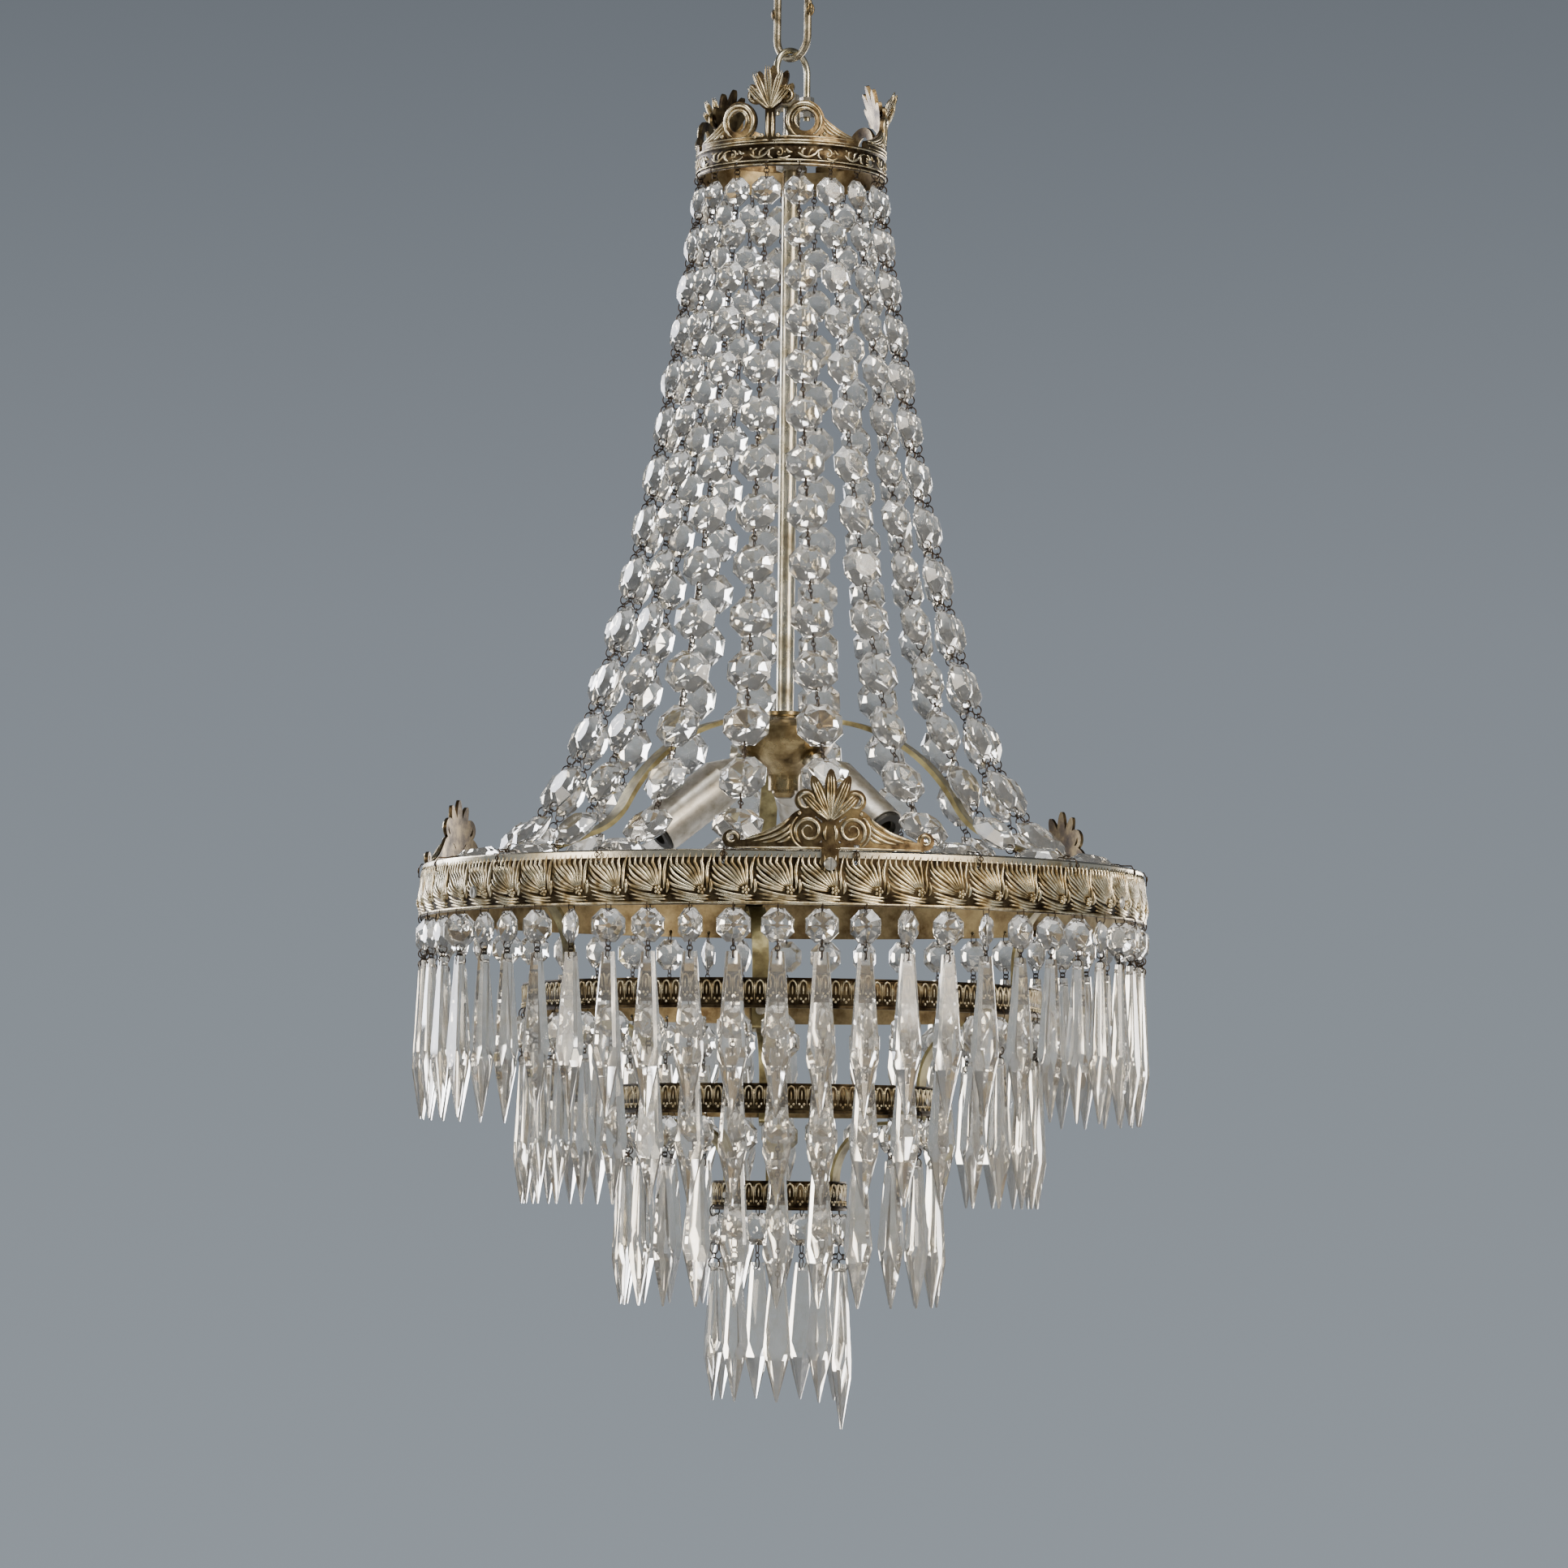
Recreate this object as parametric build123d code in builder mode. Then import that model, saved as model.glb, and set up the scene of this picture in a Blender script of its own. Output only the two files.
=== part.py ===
"""Crystal chandelier: a crown, eighteen strands of octagon beads, an embossed ring and three tiers of spears.

Millimetres, +Z up. The origin is the seat at the inner top of the upper chain link, from which it all hangs.
Azimuths are degrees about +Z, counted from the front (-Y) towards +X.
"""

from build123d import *
from math import asin, atan2, cos, degrees, hypot, radians, sin, sqrt
import os

os.makedirs("parts", exist_ok=True)

# ---------------------------------------------------------------- driving dimensions
# Chain links and bail, hanging in two planes at right angles
link_wire = 4.2
link_width = 28.0
link_length = 56.0
link_azimuth = 45.0
hang_gap = 0.3
thorn_size = 3.1
bail_wire = 3.6
bail_span = 24.0
bail_leg_drop = 36.0
yoke_drop = 26.5
yoke_thick = 4.0
yoke_width = 9.0
yoke_end = 5.0
nut_thick = 3.6
nut_across = 7.0

# Heights below the point where the bail rests on the chain
crown_drop = 58.0
hub_drop = 379.0
ring_drop = 455.0
tier_drops = (519.5, 574.0, 626.0)

# Crown
crown_radius = 52.5
crown_wall = 1.6
crown_height = 13.5
gallery_count = 3
gallery_azimuth = -13.0
gallery_wall = 1.9
gallery_cut = 12.0
pillar_width = 5.5
gallery_half_arc = 57.0
gallery_rail = 3.0
scroll_azimuth = 21.0
scroll_radius = 11.1
scroll_bore = 5.8
curl_azimuth = 9.2
curl_radius = 4.8
curl_bore = 2.2
curl_rise = 25.5
finial_rise = 18.0
finial_height = 27.0
finial_flare = 17.0
finial_thick = 2.2
leaf_azimuth = 43.0
leaf_reach = 11.5
leaf_rise = 15.0
spider_azimuth = 55.0
spider_bar = 8.0
spider_thick = 2.4
spider_hub = 10.0
rivet_radius = 1.6
rivet_head = 2.8
rivet_head_thick = 1.2

# Stem and hub
stem_radius = 4.75
stem_bore = 3.1
stem_tip = 4.6
hub_radius = 28.0
hub_cap_rise = 11.5
hub_collar_radius = 11.0
hub_collar_thick = 3.0
hub_wall = 1.6
neck_radius = 8.6
neck_drop = 32.0
hub_nut_radius = 6.5
hub_nut_thick = 4.0
terminal_size = 9.0
terminal_azimuth = 108.0
lead_radius = 0.9

# Lampholders (E14), tilted down from the middle of the hub
holder_count = 3
holder_azimuth = 48.0
holder_tilt = 38.0
nipple_radius = 5.0
nipple_bore = 3.2
nipple_start = 20.5
nipple_end = 56.0
nipple_collar = 7.0
sleeve_start = 31.5
sleeve_cone = 14.0
sleeve_length = 46.0
sleeve_radius = 13.5
sleeve_wall = 1.0
holder_body_radius = 12.2
holder_body_start = 51.0
holder_lip = 2.0
socket_radius = 6.95
socket_shell_wall = 0.6
socket_depth = 24.0
contact_thick = 0.8

# Arms and straps, cut from flat bar
arm_count = 3
arm_azimuth = 65.0
arm_width = 10.0
arm_thick = 2.6
arm_inner = 13.0
arm_flat = 7.0
arm_rise = 6.2
arm_bend_radius = 98.0
arm_bend_angle = 60.0
arm_return_radius = 40.0
arm_tab_bend = 5.0
arm_tab = 11.0
arm_tab_rise = 9.05
strap_width = 9.6
strap_thick = 1.8
strap_bend = 4.0
strap_tab = 8.0
strap_tail = 3.0
strap_arcs = (42.0, 34.0, 31.5)
strap_least_run = 2.0
arm_screw_inset = 4.5
arm_screw_bite = 3.4

# Main ring and the rim on top of it
ring_radius = 200.0
ring_height = 29.0
ring_wall = 3.4
ring_step = 1.6
ring_shoulder_drop = 11.5
rim_height = 4.2
rim_width = 4.4
rim_round = 1.0
crest_count = 3
crest_azimuth = 7.0
crest_thick = 2.0
crest_half = 50.0
crest_volute = 8.0
crest_palmette = 42.0
crest_tab_width = 9.0
crest_tab = 10.5

# Lower tiers
tier_radii = (143.0, 88.0, 37.0)
tier_height = 16.0
tier_wall = 1.4
tier_bead = 1.0
tier_bead_height = 1.6

# Octagon beads, spears and the wire that joins them
wire = 0.7
wire_bend = 3.4
wire_hole = 2.2
bead_girdle = 0.8
bead_slope = 0.74
bead_table = 0.5
bead_inset = 2.2
strand_count = 18
strand_beads_each = 15
strand_top_azimuth = 5.0
strand_foot_azimuth = 11.0
strand_power = 3.1
strand_top_bead = 16.0
strand_foot_bead = 27.0
strand_top_gap = 5.5
strand_foot_gap = 10.0
rim_loop_clear = 1.0
rim_loop_inside = 1.9
rim_loop_outside = 1.2
fringe_counts = (54, 38, 24, 9)
fringe_azimuth = -0.7
fringe_octagon = 17.8
fringe_top_gap = 1.6
fringe_gaps = (4.8, 4.8, 4.8, 9.5)
spear_lengths = (86.0, 80.0, 80.0, 75.0)
spear_long = 90.0
spear_long_place = 2
spear_top_width = 8.0
spear_belly_width = 15.0
spear_top_thick = 3.6
spear_belly_thick = 9.5
spear_belly_at = 0.64
spear_hole_inset = 3.6
hole_rise = 2.8

# Fits
fit = 0.1
slip = 0.2

# ---------------------------------------------------------------- sizes and heights that follow
ring_inner = ring_radius - ring_wall
ring_shoulder = ring_radius - ring_step
rim_inner = ring_shoulder - rim_width
link_inner = link_length - 2 * link_wire
z_lower_link = -link_inner + hang_gap
z_hang = z_lower_link - link_inner + hang_gap
z_crown = z_hang - crown_drop
z_crown_foot = z_crown - crown_height
z_hub = z_hang - hub_drop
z_rim = z_hang - ring_drop
z_ring_top = z_rim - rim_height
z_ring_foot = z_rim - ring_height
z_tiers = [z_hang - drop for drop in tier_drops]
z_arm = z_hub + arm_rise


def outward(azimuth):
    """Unit vector that points away from the axis at an azimuth."""
    return Vector(sin(radians(azimuth)), -cos(radians(azimuth)), 0)


def along(azimuth):
    """Unit vector round the axis at an azimuth."""
    return Vector(cos(radians(azimuth)), sin(radians(azimuth)), 0)


def facing_out(azimuth, radius, height):
    """Plane that looks away from the axis: x runs round it, y runs up."""
    return Plane(outward(azimuth) * radius + Vector(0, 0, height), x_dir=along(azimuth), z_dir=outward(azimuth))


def section_plane(azimuth):
    """Upright plane through the axis: x runs outward, y runs up."""
    return Plane((0, 0, 0), x_dir=outward(azimuth), z_dir=-along(azimuth))


def round_the_axis(count, first):
    """Evenly spaced azimuths."""
    return [first + 360 * i / count for i in range(count)]


def flat_seat(radius, width):
    """Radius of the outer face of a flat bar that is seated inside a round wall."""
    return sqrt(radius**2 - (width / 2) ** 2) - fit / 2


def keep(piece, label):
    """Name a finished piece and write it."""
    piece.label = label
    export_step(piece, f"parts/{label}.step")


def keep_group(pieces, label):
    """Name a group of like pieces and write it."""
    keep(Compound(children=list(pieces)), label)


def keep_turned(piece, count, first, label):
    """Write one node for each place of a piece that repeats round the axis."""
    for i, azimuth in enumerate(round_the_axis(count, first)):
        keep(piece.rotate(Axis.Z, azimuth), f"{label}_{i + 1}")


# ---------------------------------------------------------------- chain links
def chain_link(azimuth, inner_top):
    """Oval cast link with a thorn on the outside of each long side."""
    plane = Plane(
        Vector(0, 0, inner_top + link_wire - link_length / 2), x_dir=outward(azimuth), z_dir=-along(azimuth)
    )
    half = (link_width - link_wire) / 2
    straight = (link_length - link_width) / 2
    with BuildPart() as link:
        with BuildLine(plane) as loop:
            Line((half, -straight), (half, straight))
            RadiusArc((half, straight), (-half, straight), -half)
            Line((-half, straight), (-half, -straight))
            RadiusArc((-half, -straight), (half, -straight), -half)
        with BuildSketch(Plane(plane.from_local_coords((half, -straight, 0)), z_dir=(0, 0, 1))):
            Circle(link_wire / 2)
        sweep(path=loop.wires()[0])
        for side in (-1, 1):
            with BuildSketch(plane):
                with BuildLine():
                    Polyline(
                        (side * half, thorn_size * 1.6),
                        (side * (half + thorn_size), 0),
                        (side * half, -thorn_size * 1.6),
                        close=True,
                    )
                make_face()
            extrude(amount=thorn_size / 2, both=True)
    return link.part


keep(chain_link(link_azimuth + 90, 0), "chain_link_upper")
keep(chain_link(link_azimuth, z_lower_link), "chain_link_lower")

# ---------------------------------------------------------------- bail and its yoke
bail_plane = section_plane(link_azimuth + 90)
bail_half = bail_span / 2
z_bail_arch = z_hang - (bail_half - bail_wire / 2)
z_yoke_top = z_hang - yoke_drop
z_yoke_foot = z_yoke_top - yoke_thick

with BuildPart() as hanging_bail:
    with BuildLine(bail_plane) as bail_path:
        Line((bail_half, z_hang - bail_leg_drop), (bail_half, z_bail_arch))
        RadiusArc((bail_half, z_bail_arch), (-bail_half, z_bail_arch), -bail_half)
        Line((-bail_half, z_bail_arch), (-bail_half, z_hang - bail_leg_drop))
    with BuildSketch(Plane(bail_plane.from_local_coords((bail_half, z_hang - bail_leg_drop, 0)), z_dir=(0, 0, 1))):
        Circle(bail_wire / 2)
    sweep(path=bail_path.wires()[0])
keep(hanging_bail.part, "hanging_bail")

yoke_plane = Plane((0, 0, z_yoke_foot), x_dir=outward(link_azimuth + 90), z_dir=(0, 0, 1))
with BuildPart() as bail_yoke:
    with BuildSketch(yoke_plane):
        SlotCenterToCenter(bail_span, 2 * yoke_end)
        Rectangle(bail_span + 2 * yoke_end, yoke_width, mode=Mode.INTERSECT)
        with Locations((-bail_half, 0), (bail_half, 0)):
            Circle(bail_wire / 2 + fit, mode=Mode.SUBTRACT)
        Circle(stem_tip / 2 + fit, mode=Mode.SUBTRACT)
    extrude(amount=yoke_thick)
keep(bail_yoke.part, "bail_yoke")


def hexagon_nut(bore):
    """Hexagon nut that stands on its lower face."""
    with BuildPart() as nut:
        with BuildSketch():
            RegularPolygon(nut_across / 2, 6, major_radius=False)
            Circle(bore, mode=Mode.SUBTRACT)
        extrude(amount=nut_thick)
    return nut.part.solid()


bail_nut = hexagon_nut(bail_wire / 2 + fit)
bail_nuts = [
    bail_nut.moved(Location(bail_plane.from_local_coords((side * bail_half, height, 0))))
    for side in (-1, 1)
    for height in (z_yoke_top, z_yoke_foot - nut_thick)
]

# ---------------------------------------------------------------- crown
crown_inner = crown_radius - crown_wall
crown_holes = round_the_axis(strand_count, strand_top_azimuth)
spider_azimuths = round_the_axis(gallery_count, spider_azimuth)
z_spider = z_crown - 4.0
spider_seat = flat_seat(crown_inner, spider_bar)
spider_foot = 8.0


def radial_bores(planes, radius, length):
    """Cut round holes along the normals of planes."""
    with Locations(*planes):
        Cylinder(radius, length, mode=Mode.SUBTRACT)


with BuildPart() as crown_band:
    with BuildSketch(Plane.XZ) as band_profile:
        with BuildLine():
            Polyline(
                (crown_inner, z_crown_foot),
                (crown_radius, z_crown_foot),
                (crown_radius, z_crown_foot + 2),
                (crown_radius - 0.5, z_crown_foot + 3),
            )
            ThreePointArc(
                (crown_radius - 0.5, z_crown_foot + 3),
                (crown_radius + 0.3, (z_crown + z_crown_foot) / 2),
                (crown_radius - 0.5, z_crown - 2.5),
            )
            Polyline(
                (crown_radius - 0.5, z_crown - 2.5),
                (crown_radius, z_crown - 1.5),
                (crown_radius, z_crown),
                (crown_inner, z_crown),
                (crown_inner, z_crown_foot),
            )
        make_face()
    revolve(axis=Axis.Z)
    radial_bores([facing_out(a, crown_inner, z_crown_foot + hole_rise) for a in crown_holes], wire_hole / 2, 8)
    z_rivet = z_spider - spider_foot / 2
    radial_bores([facing_out(a, crown_inner, z_rivet) for a in spider_azimuths], rivet_radius + fit, 8)
keep(crown_band.part, "crown_band")


def scroll(azimuth, rise, outer, bore):
    """Pierced round scroll cut through the gallery wall at an azimuth."""
    centre = facing_out(azimuth, crown_radius - gallery_cut / 2, z_crown + rise)
    with BuildSketch(centre) as disc:
        Circle(outer)
    extrude(disc.sketch, amount=gallery_cut)
    with BuildSketch(centre) as eye:
        Circle(bore)
    extrude(eye.sketch, amount=gallery_cut, mode=Mode.SUBTRACT)


def leaf(side):
    """Acanthus leaf that falls from a scroll to the end of the rail."""
    with BuildSketch(facing_out(side * leaf_azimuth, crown_radius - gallery_cut / 2, z_crown)) as blade:
        with BuildLine():
            Polyline(
                (side * leaf_reach, gallery_rail - 1),
                (-side * leaf_reach, gallery_rail - 1),
                (-side * (leaf_reach - 1), leaf_rise),
            )
            ThreePointArc(
                (-side * (leaf_reach - 1), leaf_rise),
                (-side * 1.5, gallery_rail + 5.5),
                (side * leaf_reach, gallery_rail + 1.0),
            )
            Line((side * leaf_reach, gallery_rail + 1.0), (side * leaf_reach, gallery_rail - 1))
        make_face()
    extrude(blade.sketch, amount=gallery_cut)


def palmette(petals, width, height):
    """Fan of petals that springs from the origin of the sketch."""
    for angle, share in petals:
        with Locations(Location((0, 0), -angle)):
            with Locations((0, height * share / 2)):
                Ellipse(width / 2, height * share / 2)


with BuildPart() as gallery:
    with BuildSketch(Plane.XY.offset(z_crown)):
        with BuildLine():
            outer_arc = CenterArc((0, 0), crown_radius, -90 - gallery_half_arc, 2 * gallery_half_arc)
            inner_arc = CenterArc((0, 0), crown_radius - gallery_wall, -90 - gallery_half_arc, 2 * gallery_half_arc)
            Line(outer_arc @ 0, inner_arc @ 0)
            Line(outer_arc @ 1, inner_arc @ 1)
        make_face()
    extrude(amount=gallery_rail)
    with BuildSketch(facing_out(0, crown_radius - gallery_cut / 2, z_crown + gallery_rail / 2)):
        with Locations((0, finial_rise / 2)):
            Rectangle(pillar_width, finial_rise)
    extrude(amount=gallery_cut)
    for side in (-1, 1):
        scroll(side * curl_azimuth, curl_rise, curl_radius, curl_bore)
        scroll(side * scroll_azimuth, scroll_radius + 0.5, scroll_radius, scroll_bore)
        leaf(side)
    with BuildSketch(Plane.XY.offset(z_crown)):
        Circle(crown_radius)
        Circle(crown_radius - gallery_wall, mode=Mode.SUBTRACT)
    extrude(amount=2 * finial_height, mode=Mode.INTERSECT)
    finial_plane = facing_out(0, crown_radius - gallery_wall, z_crown + finial_rise - 1).rotated((-finial_flare, 0, 0))
    with BuildSketch(finial_plane):
        palmette(((0, 1.0), (-19, 0.92), (19, 0.92), (-38, 0.72), (38, 0.72)), 6.0, finial_height)
    extrude(amount=finial_thick)
keep_turned(gallery.part, gallery_count, gallery_azimuth, "crown_gallery")

with BuildPart() as crown_spider:
    with BuildSketch(Plane.XY.offset(z_spider)):
        Circle(spider_hub)
        for azimuth in spider_azimuths:
            with Locations(Location((0, 0), azimuth - 90)):
                with Locations((spider_seat / 2, 0)):
                    Rectangle(spider_seat, spider_bar)
        Circle(stem_radius + fit, mode=Mode.SUBTRACT)
    extrude(amount=spider_thick)
    for azimuth in spider_azimuths:
        with BuildSketch(facing_out(azimuth, spider_seat - spider_thick, z_spider - spider_foot)):
            with Locations((0, spider_foot / 2)):
                Rectangle(spider_bar, spider_foot)
        extrude(amount=spider_thick)
    radial_bores([facing_out(a, spider_seat, z_rivet) for a in spider_azimuths], rivet_radius + fit, 8)
keep(crown_spider.part, "crown_spider")


def rivet(length, shank, head, head_thick):
    """Round rivet on its own axis, with a flat at the far end and its head on the near side."""
    with BuildPart() as piece:
        with BuildSketch(Plane.XZ):
            Rectangle(shank, length, align=(Align.MIN, Align.MIN))
            with Locations((0, -head_thick)):
                Rectangle(head, head_thick, align=(Align.MIN, Align.MIN))
        revolve(axis=Axis.Z)
        far_rim = piece.edges().filter_by(GeomType.CIRCLE).group_by(Axis.Z)[0]
        chamfer(far_rim, head_thick * 0.4)
    return piece.part.solid()


crown_rivet = rivet(crown_radius - spider_seat + spider_thick + 0.8, rivet_radius, rivet_head, rivet_head_thick)
keep_group(
    [
        crown_rivet.moved(facing_out(a, spider_seat - spider_thick, z_rivet).location)
        for a in spider_azimuths
    ],
    "crown_rivets",
)

# ---------------------------------------------------------------- stem and hub
z_stem_foot = z_hub - neck_drop - hub_nut_thick / 2
with BuildPart() as stem_tube:
    with BuildSketch(Plane.XZ):
        with BuildLine():
            Polyline(
                (stem_bore, z_stem_foot),
                (stem_radius, z_stem_foot),
                (stem_radius, z_yoke_foot),
                (stem_tip / 2, z_yoke_foot),
                (stem_tip / 2, z_yoke_top + nut_thick + 1),
                (stem_tip / 2 - 0.9, z_yoke_top + nut_thick + 1),
                (stem_tip / 2 - 0.9, z_yoke_foot - 3),
                (stem_bore, z_yoke_foot - 3),
                (stem_bore, z_stem_foot),
            )
        make_face()
    revolve(axis=Axis.Z)
keep(stem_tube.part, "stem_tube")

with BuildPart() as stem_locknut:
    with BuildSketch():
        RegularPolygon(stem_radius + 2.4, 6, major_radius=False)
        Circle(stem_radius + fit, mode=Mode.SUBTRACT)
    extrude(amount=nut_thick)
stem_nuts = [
    hexagon_nut(stem_tip / 2 + fit).moved(Location((0, 0, z_yoke_top))),
    stem_locknut.part.solid().moved(Location((0, 0, z_spider + spider_thick))),
    stem_locknut.part.solid().moved(Location((0, 0, z_spider - nut_thick))),
]
keep_group(bail_nuts + stem_nuts, "top_nuts")

arm_azimuths = round_the_axis(arm_count, arm_azimuth)
holder_azimuths = round_the_axis(holder_count, holder_azimuth)
arm_screw_at = arm_inner + arm_screw_inset
z_cap_top = z_hub + hub_cap_rise - hub_collar_thick
with BuildPart() as hub_cap:
    with BuildSketch(Plane.XZ):
        with BuildLine():
            Polyline(
                (hub_radius - 0.5, z_hub + 2),
                (hub_radius - 0.5, z_hub),
                (stem_radius + fit, z_hub),
                (stem_radius + fit, z_hub + hub_cap_rise),
                (hub_collar_radius - 1, z_hub + hub_cap_rise),
                (hub_collar_radius - 1, z_cap_top + 1),
                (hub_collar_radius + 1, z_cap_top),
            )
            ThreePointArc(
                (hub_collar_radius + 1, z_cap_top),
                (hub_radius - 6, z_hub + 5.6),
                (hub_radius - 0.5, z_hub + 2),
            )
        make_face()
    revolve(axis=Axis.Z)
    for azimuth in arm_azimuths:
        with BuildSketch(facing_out(azimuth, arm_inner - fit, z_arm)):
            Rectangle(arm_width + 2 * fit, arm_thick + 2 * fit, align=(Align.CENTER, Align.CENTER))
            with Locations((0, arm_thick)):
                Rectangle(arm_width + 2 * fit, arm_thick + 2 * fit)
        extrude(amount=hub_radius, mode=Mode.SUBTRACT)
    arm_floor = z_arm - arm_thick / 2 - fit
    with Locations(*[outward(a) * arm_screw_at + Vector(0, 0, arm_floor - arm_screw_bite) for a in arm_azimuths]):
        Cylinder(
            rivet_radius + fit, 2 * arm_thick, align=(Align.CENTER, Align.CENTER, Align.MIN), mode=Mode.SUBTRACT
        )
keep(hub_cap.part, "hub_cap")

meeting_point = Vector(0, 0, z_hub)


def holder_plane(azimuth, distance=0.0):
    """Plane square to a lampholder's axis, looking out of its mouth."""
    axis = outward(azimuth) * cos(radians(holder_tilt)) - Vector(0, 0, sin(radians(holder_tilt)))
    return Plane(meeting_point + axis * distance, x_dir=along(azimuth), z_dir=axis)


with BuildPart() as hub_bowl:
    with BuildSketch(Plane.XZ):
        with BuildLine():
            shell = Spline(
                (hub_radius, z_hub),
                (hub_radius - 1.2, z_hub - 6.5),
                (hub_radius - 8.2, z_hub - 15.5),
                (neck_radius + 1.2, z_hub - 22.5),
                (neck_radius, z_hub - 27.0),
                tangents=[(0, -1), (0, -1)],
            )
            Polyline(
                shell @ 1,
                (neck_radius, z_hub - neck_drop),
                (stem_radius + fit, z_hub - neck_drop),
                (stem_radius + fit, z_hub - neck_drop + hub_wall),
                (neck_radius - hub_wall, z_hub - neck_drop + hub_wall),
                (neck_radius - hub_wall, z_hub - 26.0),
            )
            liner = Spline(
                (neck_radius - hub_wall, z_hub - 26.0),
                (neck_radius + 1.2 - hub_wall, z_hub - 22.0),
                (hub_radius - 9.6, z_hub - 14.2),
                (hub_radius - 1.2 - hub_wall, z_hub - 6.0),
                (hub_radius - hub_wall, z_hub),
                tangents=[(0, 1), (0, 1)],
            )
            Line(liner @ 1, shell @ 0)
        make_face()
    revolve(axis=Axis.Z)
    radial_bores([holder_plane(a, hub_radius) for a in holder_azimuths], nipple_radius + fit, hub_radius * 0.8)
keep(hub_bowl.part, "hub_bowl")

with BuildPart() as hub_nut:
    with BuildSketch(Plane.XZ):
        with BuildLine():
            Polyline(
                (0, z_hub - neck_drop - hub_nut_thick),
                (hub_nut_radius - 2, z_hub - neck_drop - hub_nut_thick),
                (hub_nut_radius, z_hub - neck_drop - 1.5),
                (hub_nut_radius, z_hub - neck_drop),
                (stem_radius + fit, z_hub - neck_drop),
                (stem_radius + fit, z_stem_foot),
                (0, z_stem_foot),
                close=True,
            )
        make_face()
    revolve(axis=Axis.Z)
keep(hub_nut.part, "hub_nut")

block_at = outward(terminal_azimuth) * (stem_radius + fit + terminal_size / 2 + 1)
with BuildPart() as terminal_block:
    with Locations(Location((block_at.X, block_at.Y, z_hub - terminal_size / 2), (0, 0, terminal_azimuth))):
        Box(terminal_size * 1.3, terminal_size, terminal_size)
        with Locations((-3, 0, 0), (3, 0, 0)):
            Cylinder(1.2, terminal_size, mode=Mode.SUBTRACT)
keep(terminal_block.part, "terminal_block")

with BuildPart() as stem_leads:
    with BuildSketch(Plane.XY.offset(z_stem_foot + 2)):
        with PolarLocations(stem_bore / 2, 3):
            Circle(lead_radius)
    extrude(amount=z_yoke_foot - 8 - z_stem_foot)

# ---------------------------------------------------------------- lampholders
def holder_section(azimuth):
    """Plane through a lampholder's axis: x runs across the axis, y runs out of the mouth."""
    mouth = holder_plane(azimuth)
    return Plane(meeting_point, x_dir=mouth.x_dir, z_dir=mouth.x_dir.cross(mouth.z_dir))


cap_plane_at = sleeve_start + sleeve_cone
mouth_at = cap_plane_at + sleeve_length
socket_mouth_at = mouth_at + holder_lip
socket_floor_at = socket_mouth_at - socket_depth
cone_root = nipple_radius + 1.2
bore_radius = socket_radius + socket_shell_wall


def turned(azimuth, outline):
    """Solid of revolution about a lampholder's axis, from (radius, distance) points."""
    section = holder_section(azimuth)
    with BuildPart() as piece:
        with BuildSketch(section) as face:
            with BuildLine():
                Polyline(*outline, close=True)
            make_face()
        revolve(face.sketch, axis=Axis(meeting_point, holder_plane(azimuth).z_dir))
    return piece.part


sleeve_outline = (
    (nipple_radius + fit, sleeve_start),
    (cone_root, sleeve_start),
    (sleeve_radius - 1, cap_plane_at - 1),
    (sleeve_radius, cap_plane_at + 1),
    (sleeve_radius, mouth_at),
    (sleeve_radius - sleeve_wall, mouth_at),
    (sleeve_radius - sleeve_wall, cap_plane_at + 1.5),
    (sleeve_radius - 1 - sleeve_wall, cap_plane_at),
    (cone_root, sleeve_start + 2.5),
    (nipple_radius + fit, sleeve_start + 2.5),
)
body_outline = (
    (nipple_radius + fit, holder_body_start),
    (holder_body_radius - 1, holder_body_start),
    (holder_body_radius, holder_body_start + 1),
    (holder_body_radius, socket_mouth_at - 0.6),
    (holder_body_radius - 0.6, socket_mouth_at),
    (bore_radius + fit, socket_mouth_at),
    (bore_radius + fit, socket_floor_at),
    (nipple_radius + fit, socket_floor_at),
)
shell_outline = (
    (socket_radius, socket_floor_at + contact_thick + 0.6),
    (bore_radius, socket_floor_at + contact_thick + 0.6),
    (bore_radius, socket_mouth_at - 3),
    (socket_radius, socket_mouth_at - 3),
)
contact_outline = (
    (0, socket_floor_at),
    (nipple_radius + 1, socket_floor_at),
    (nipple_radius + 1, socket_floor_at + contact_thick),
    (0, socket_floor_at + contact_thick),
)
nipple_outline = (
    (nipple_bore, nipple_start),
    (nipple_radius, nipple_start),
    (nipple_radius, sleeve_start - 3),
    (nipple_collar, sleeve_start - 3),
    (nipple_collar, sleeve_start),
    (nipple_radius, sleeve_start),
    (nipple_radius, nipple_end),
    (nipple_bore, nipple_end),
)
for i, azimuth in enumerate(holder_azimuths):
    keep(turned(azimuth, sleeve_outline), f"lampholder_sleeve_{i + 1}")
keep_group([turned(a, body_outline).solid() for a in holder_azimuths], "lampholder_bodies")
keep_group([turned(a, shell_outline).solid() for a in holder_azimuths], "lampholder_shells")
keep_group([turned(a, contact_outline).solid() for a in holder_azimuths], "lampholder_contacts")
keep_group([turned(a, nipple_outline).solid() for a in holder_azimuths], "lampholder_nipples")

with BuildPart() as holder_leads:
    for azimuth in holder_azimuths:
        start = holder_plane(azimuth, nipple_start - 1)
        with Locations(start.offset((socket_floor_at - nipple_start) / 2).location):
            with Locations((-1.3, 0, 0), (1.3, 0, 0)):
                Cylinder(lead_radius, socket_floor_at - nipple_start)
keep_group(stem_leads.part.solids() + holder_leads.part.solids(), "internal_leads")

# ---------------------------------------------------------------- arms
front = section_plane(0)
arm_seat = flat_seat(ring_inner, arm_width)
z_arm_tab = z_ring_foot + arm_tab_rise
tab_top = (arm_seat - arm_thick / 2, z_arm_tab + arm_tab / 2)


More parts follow.
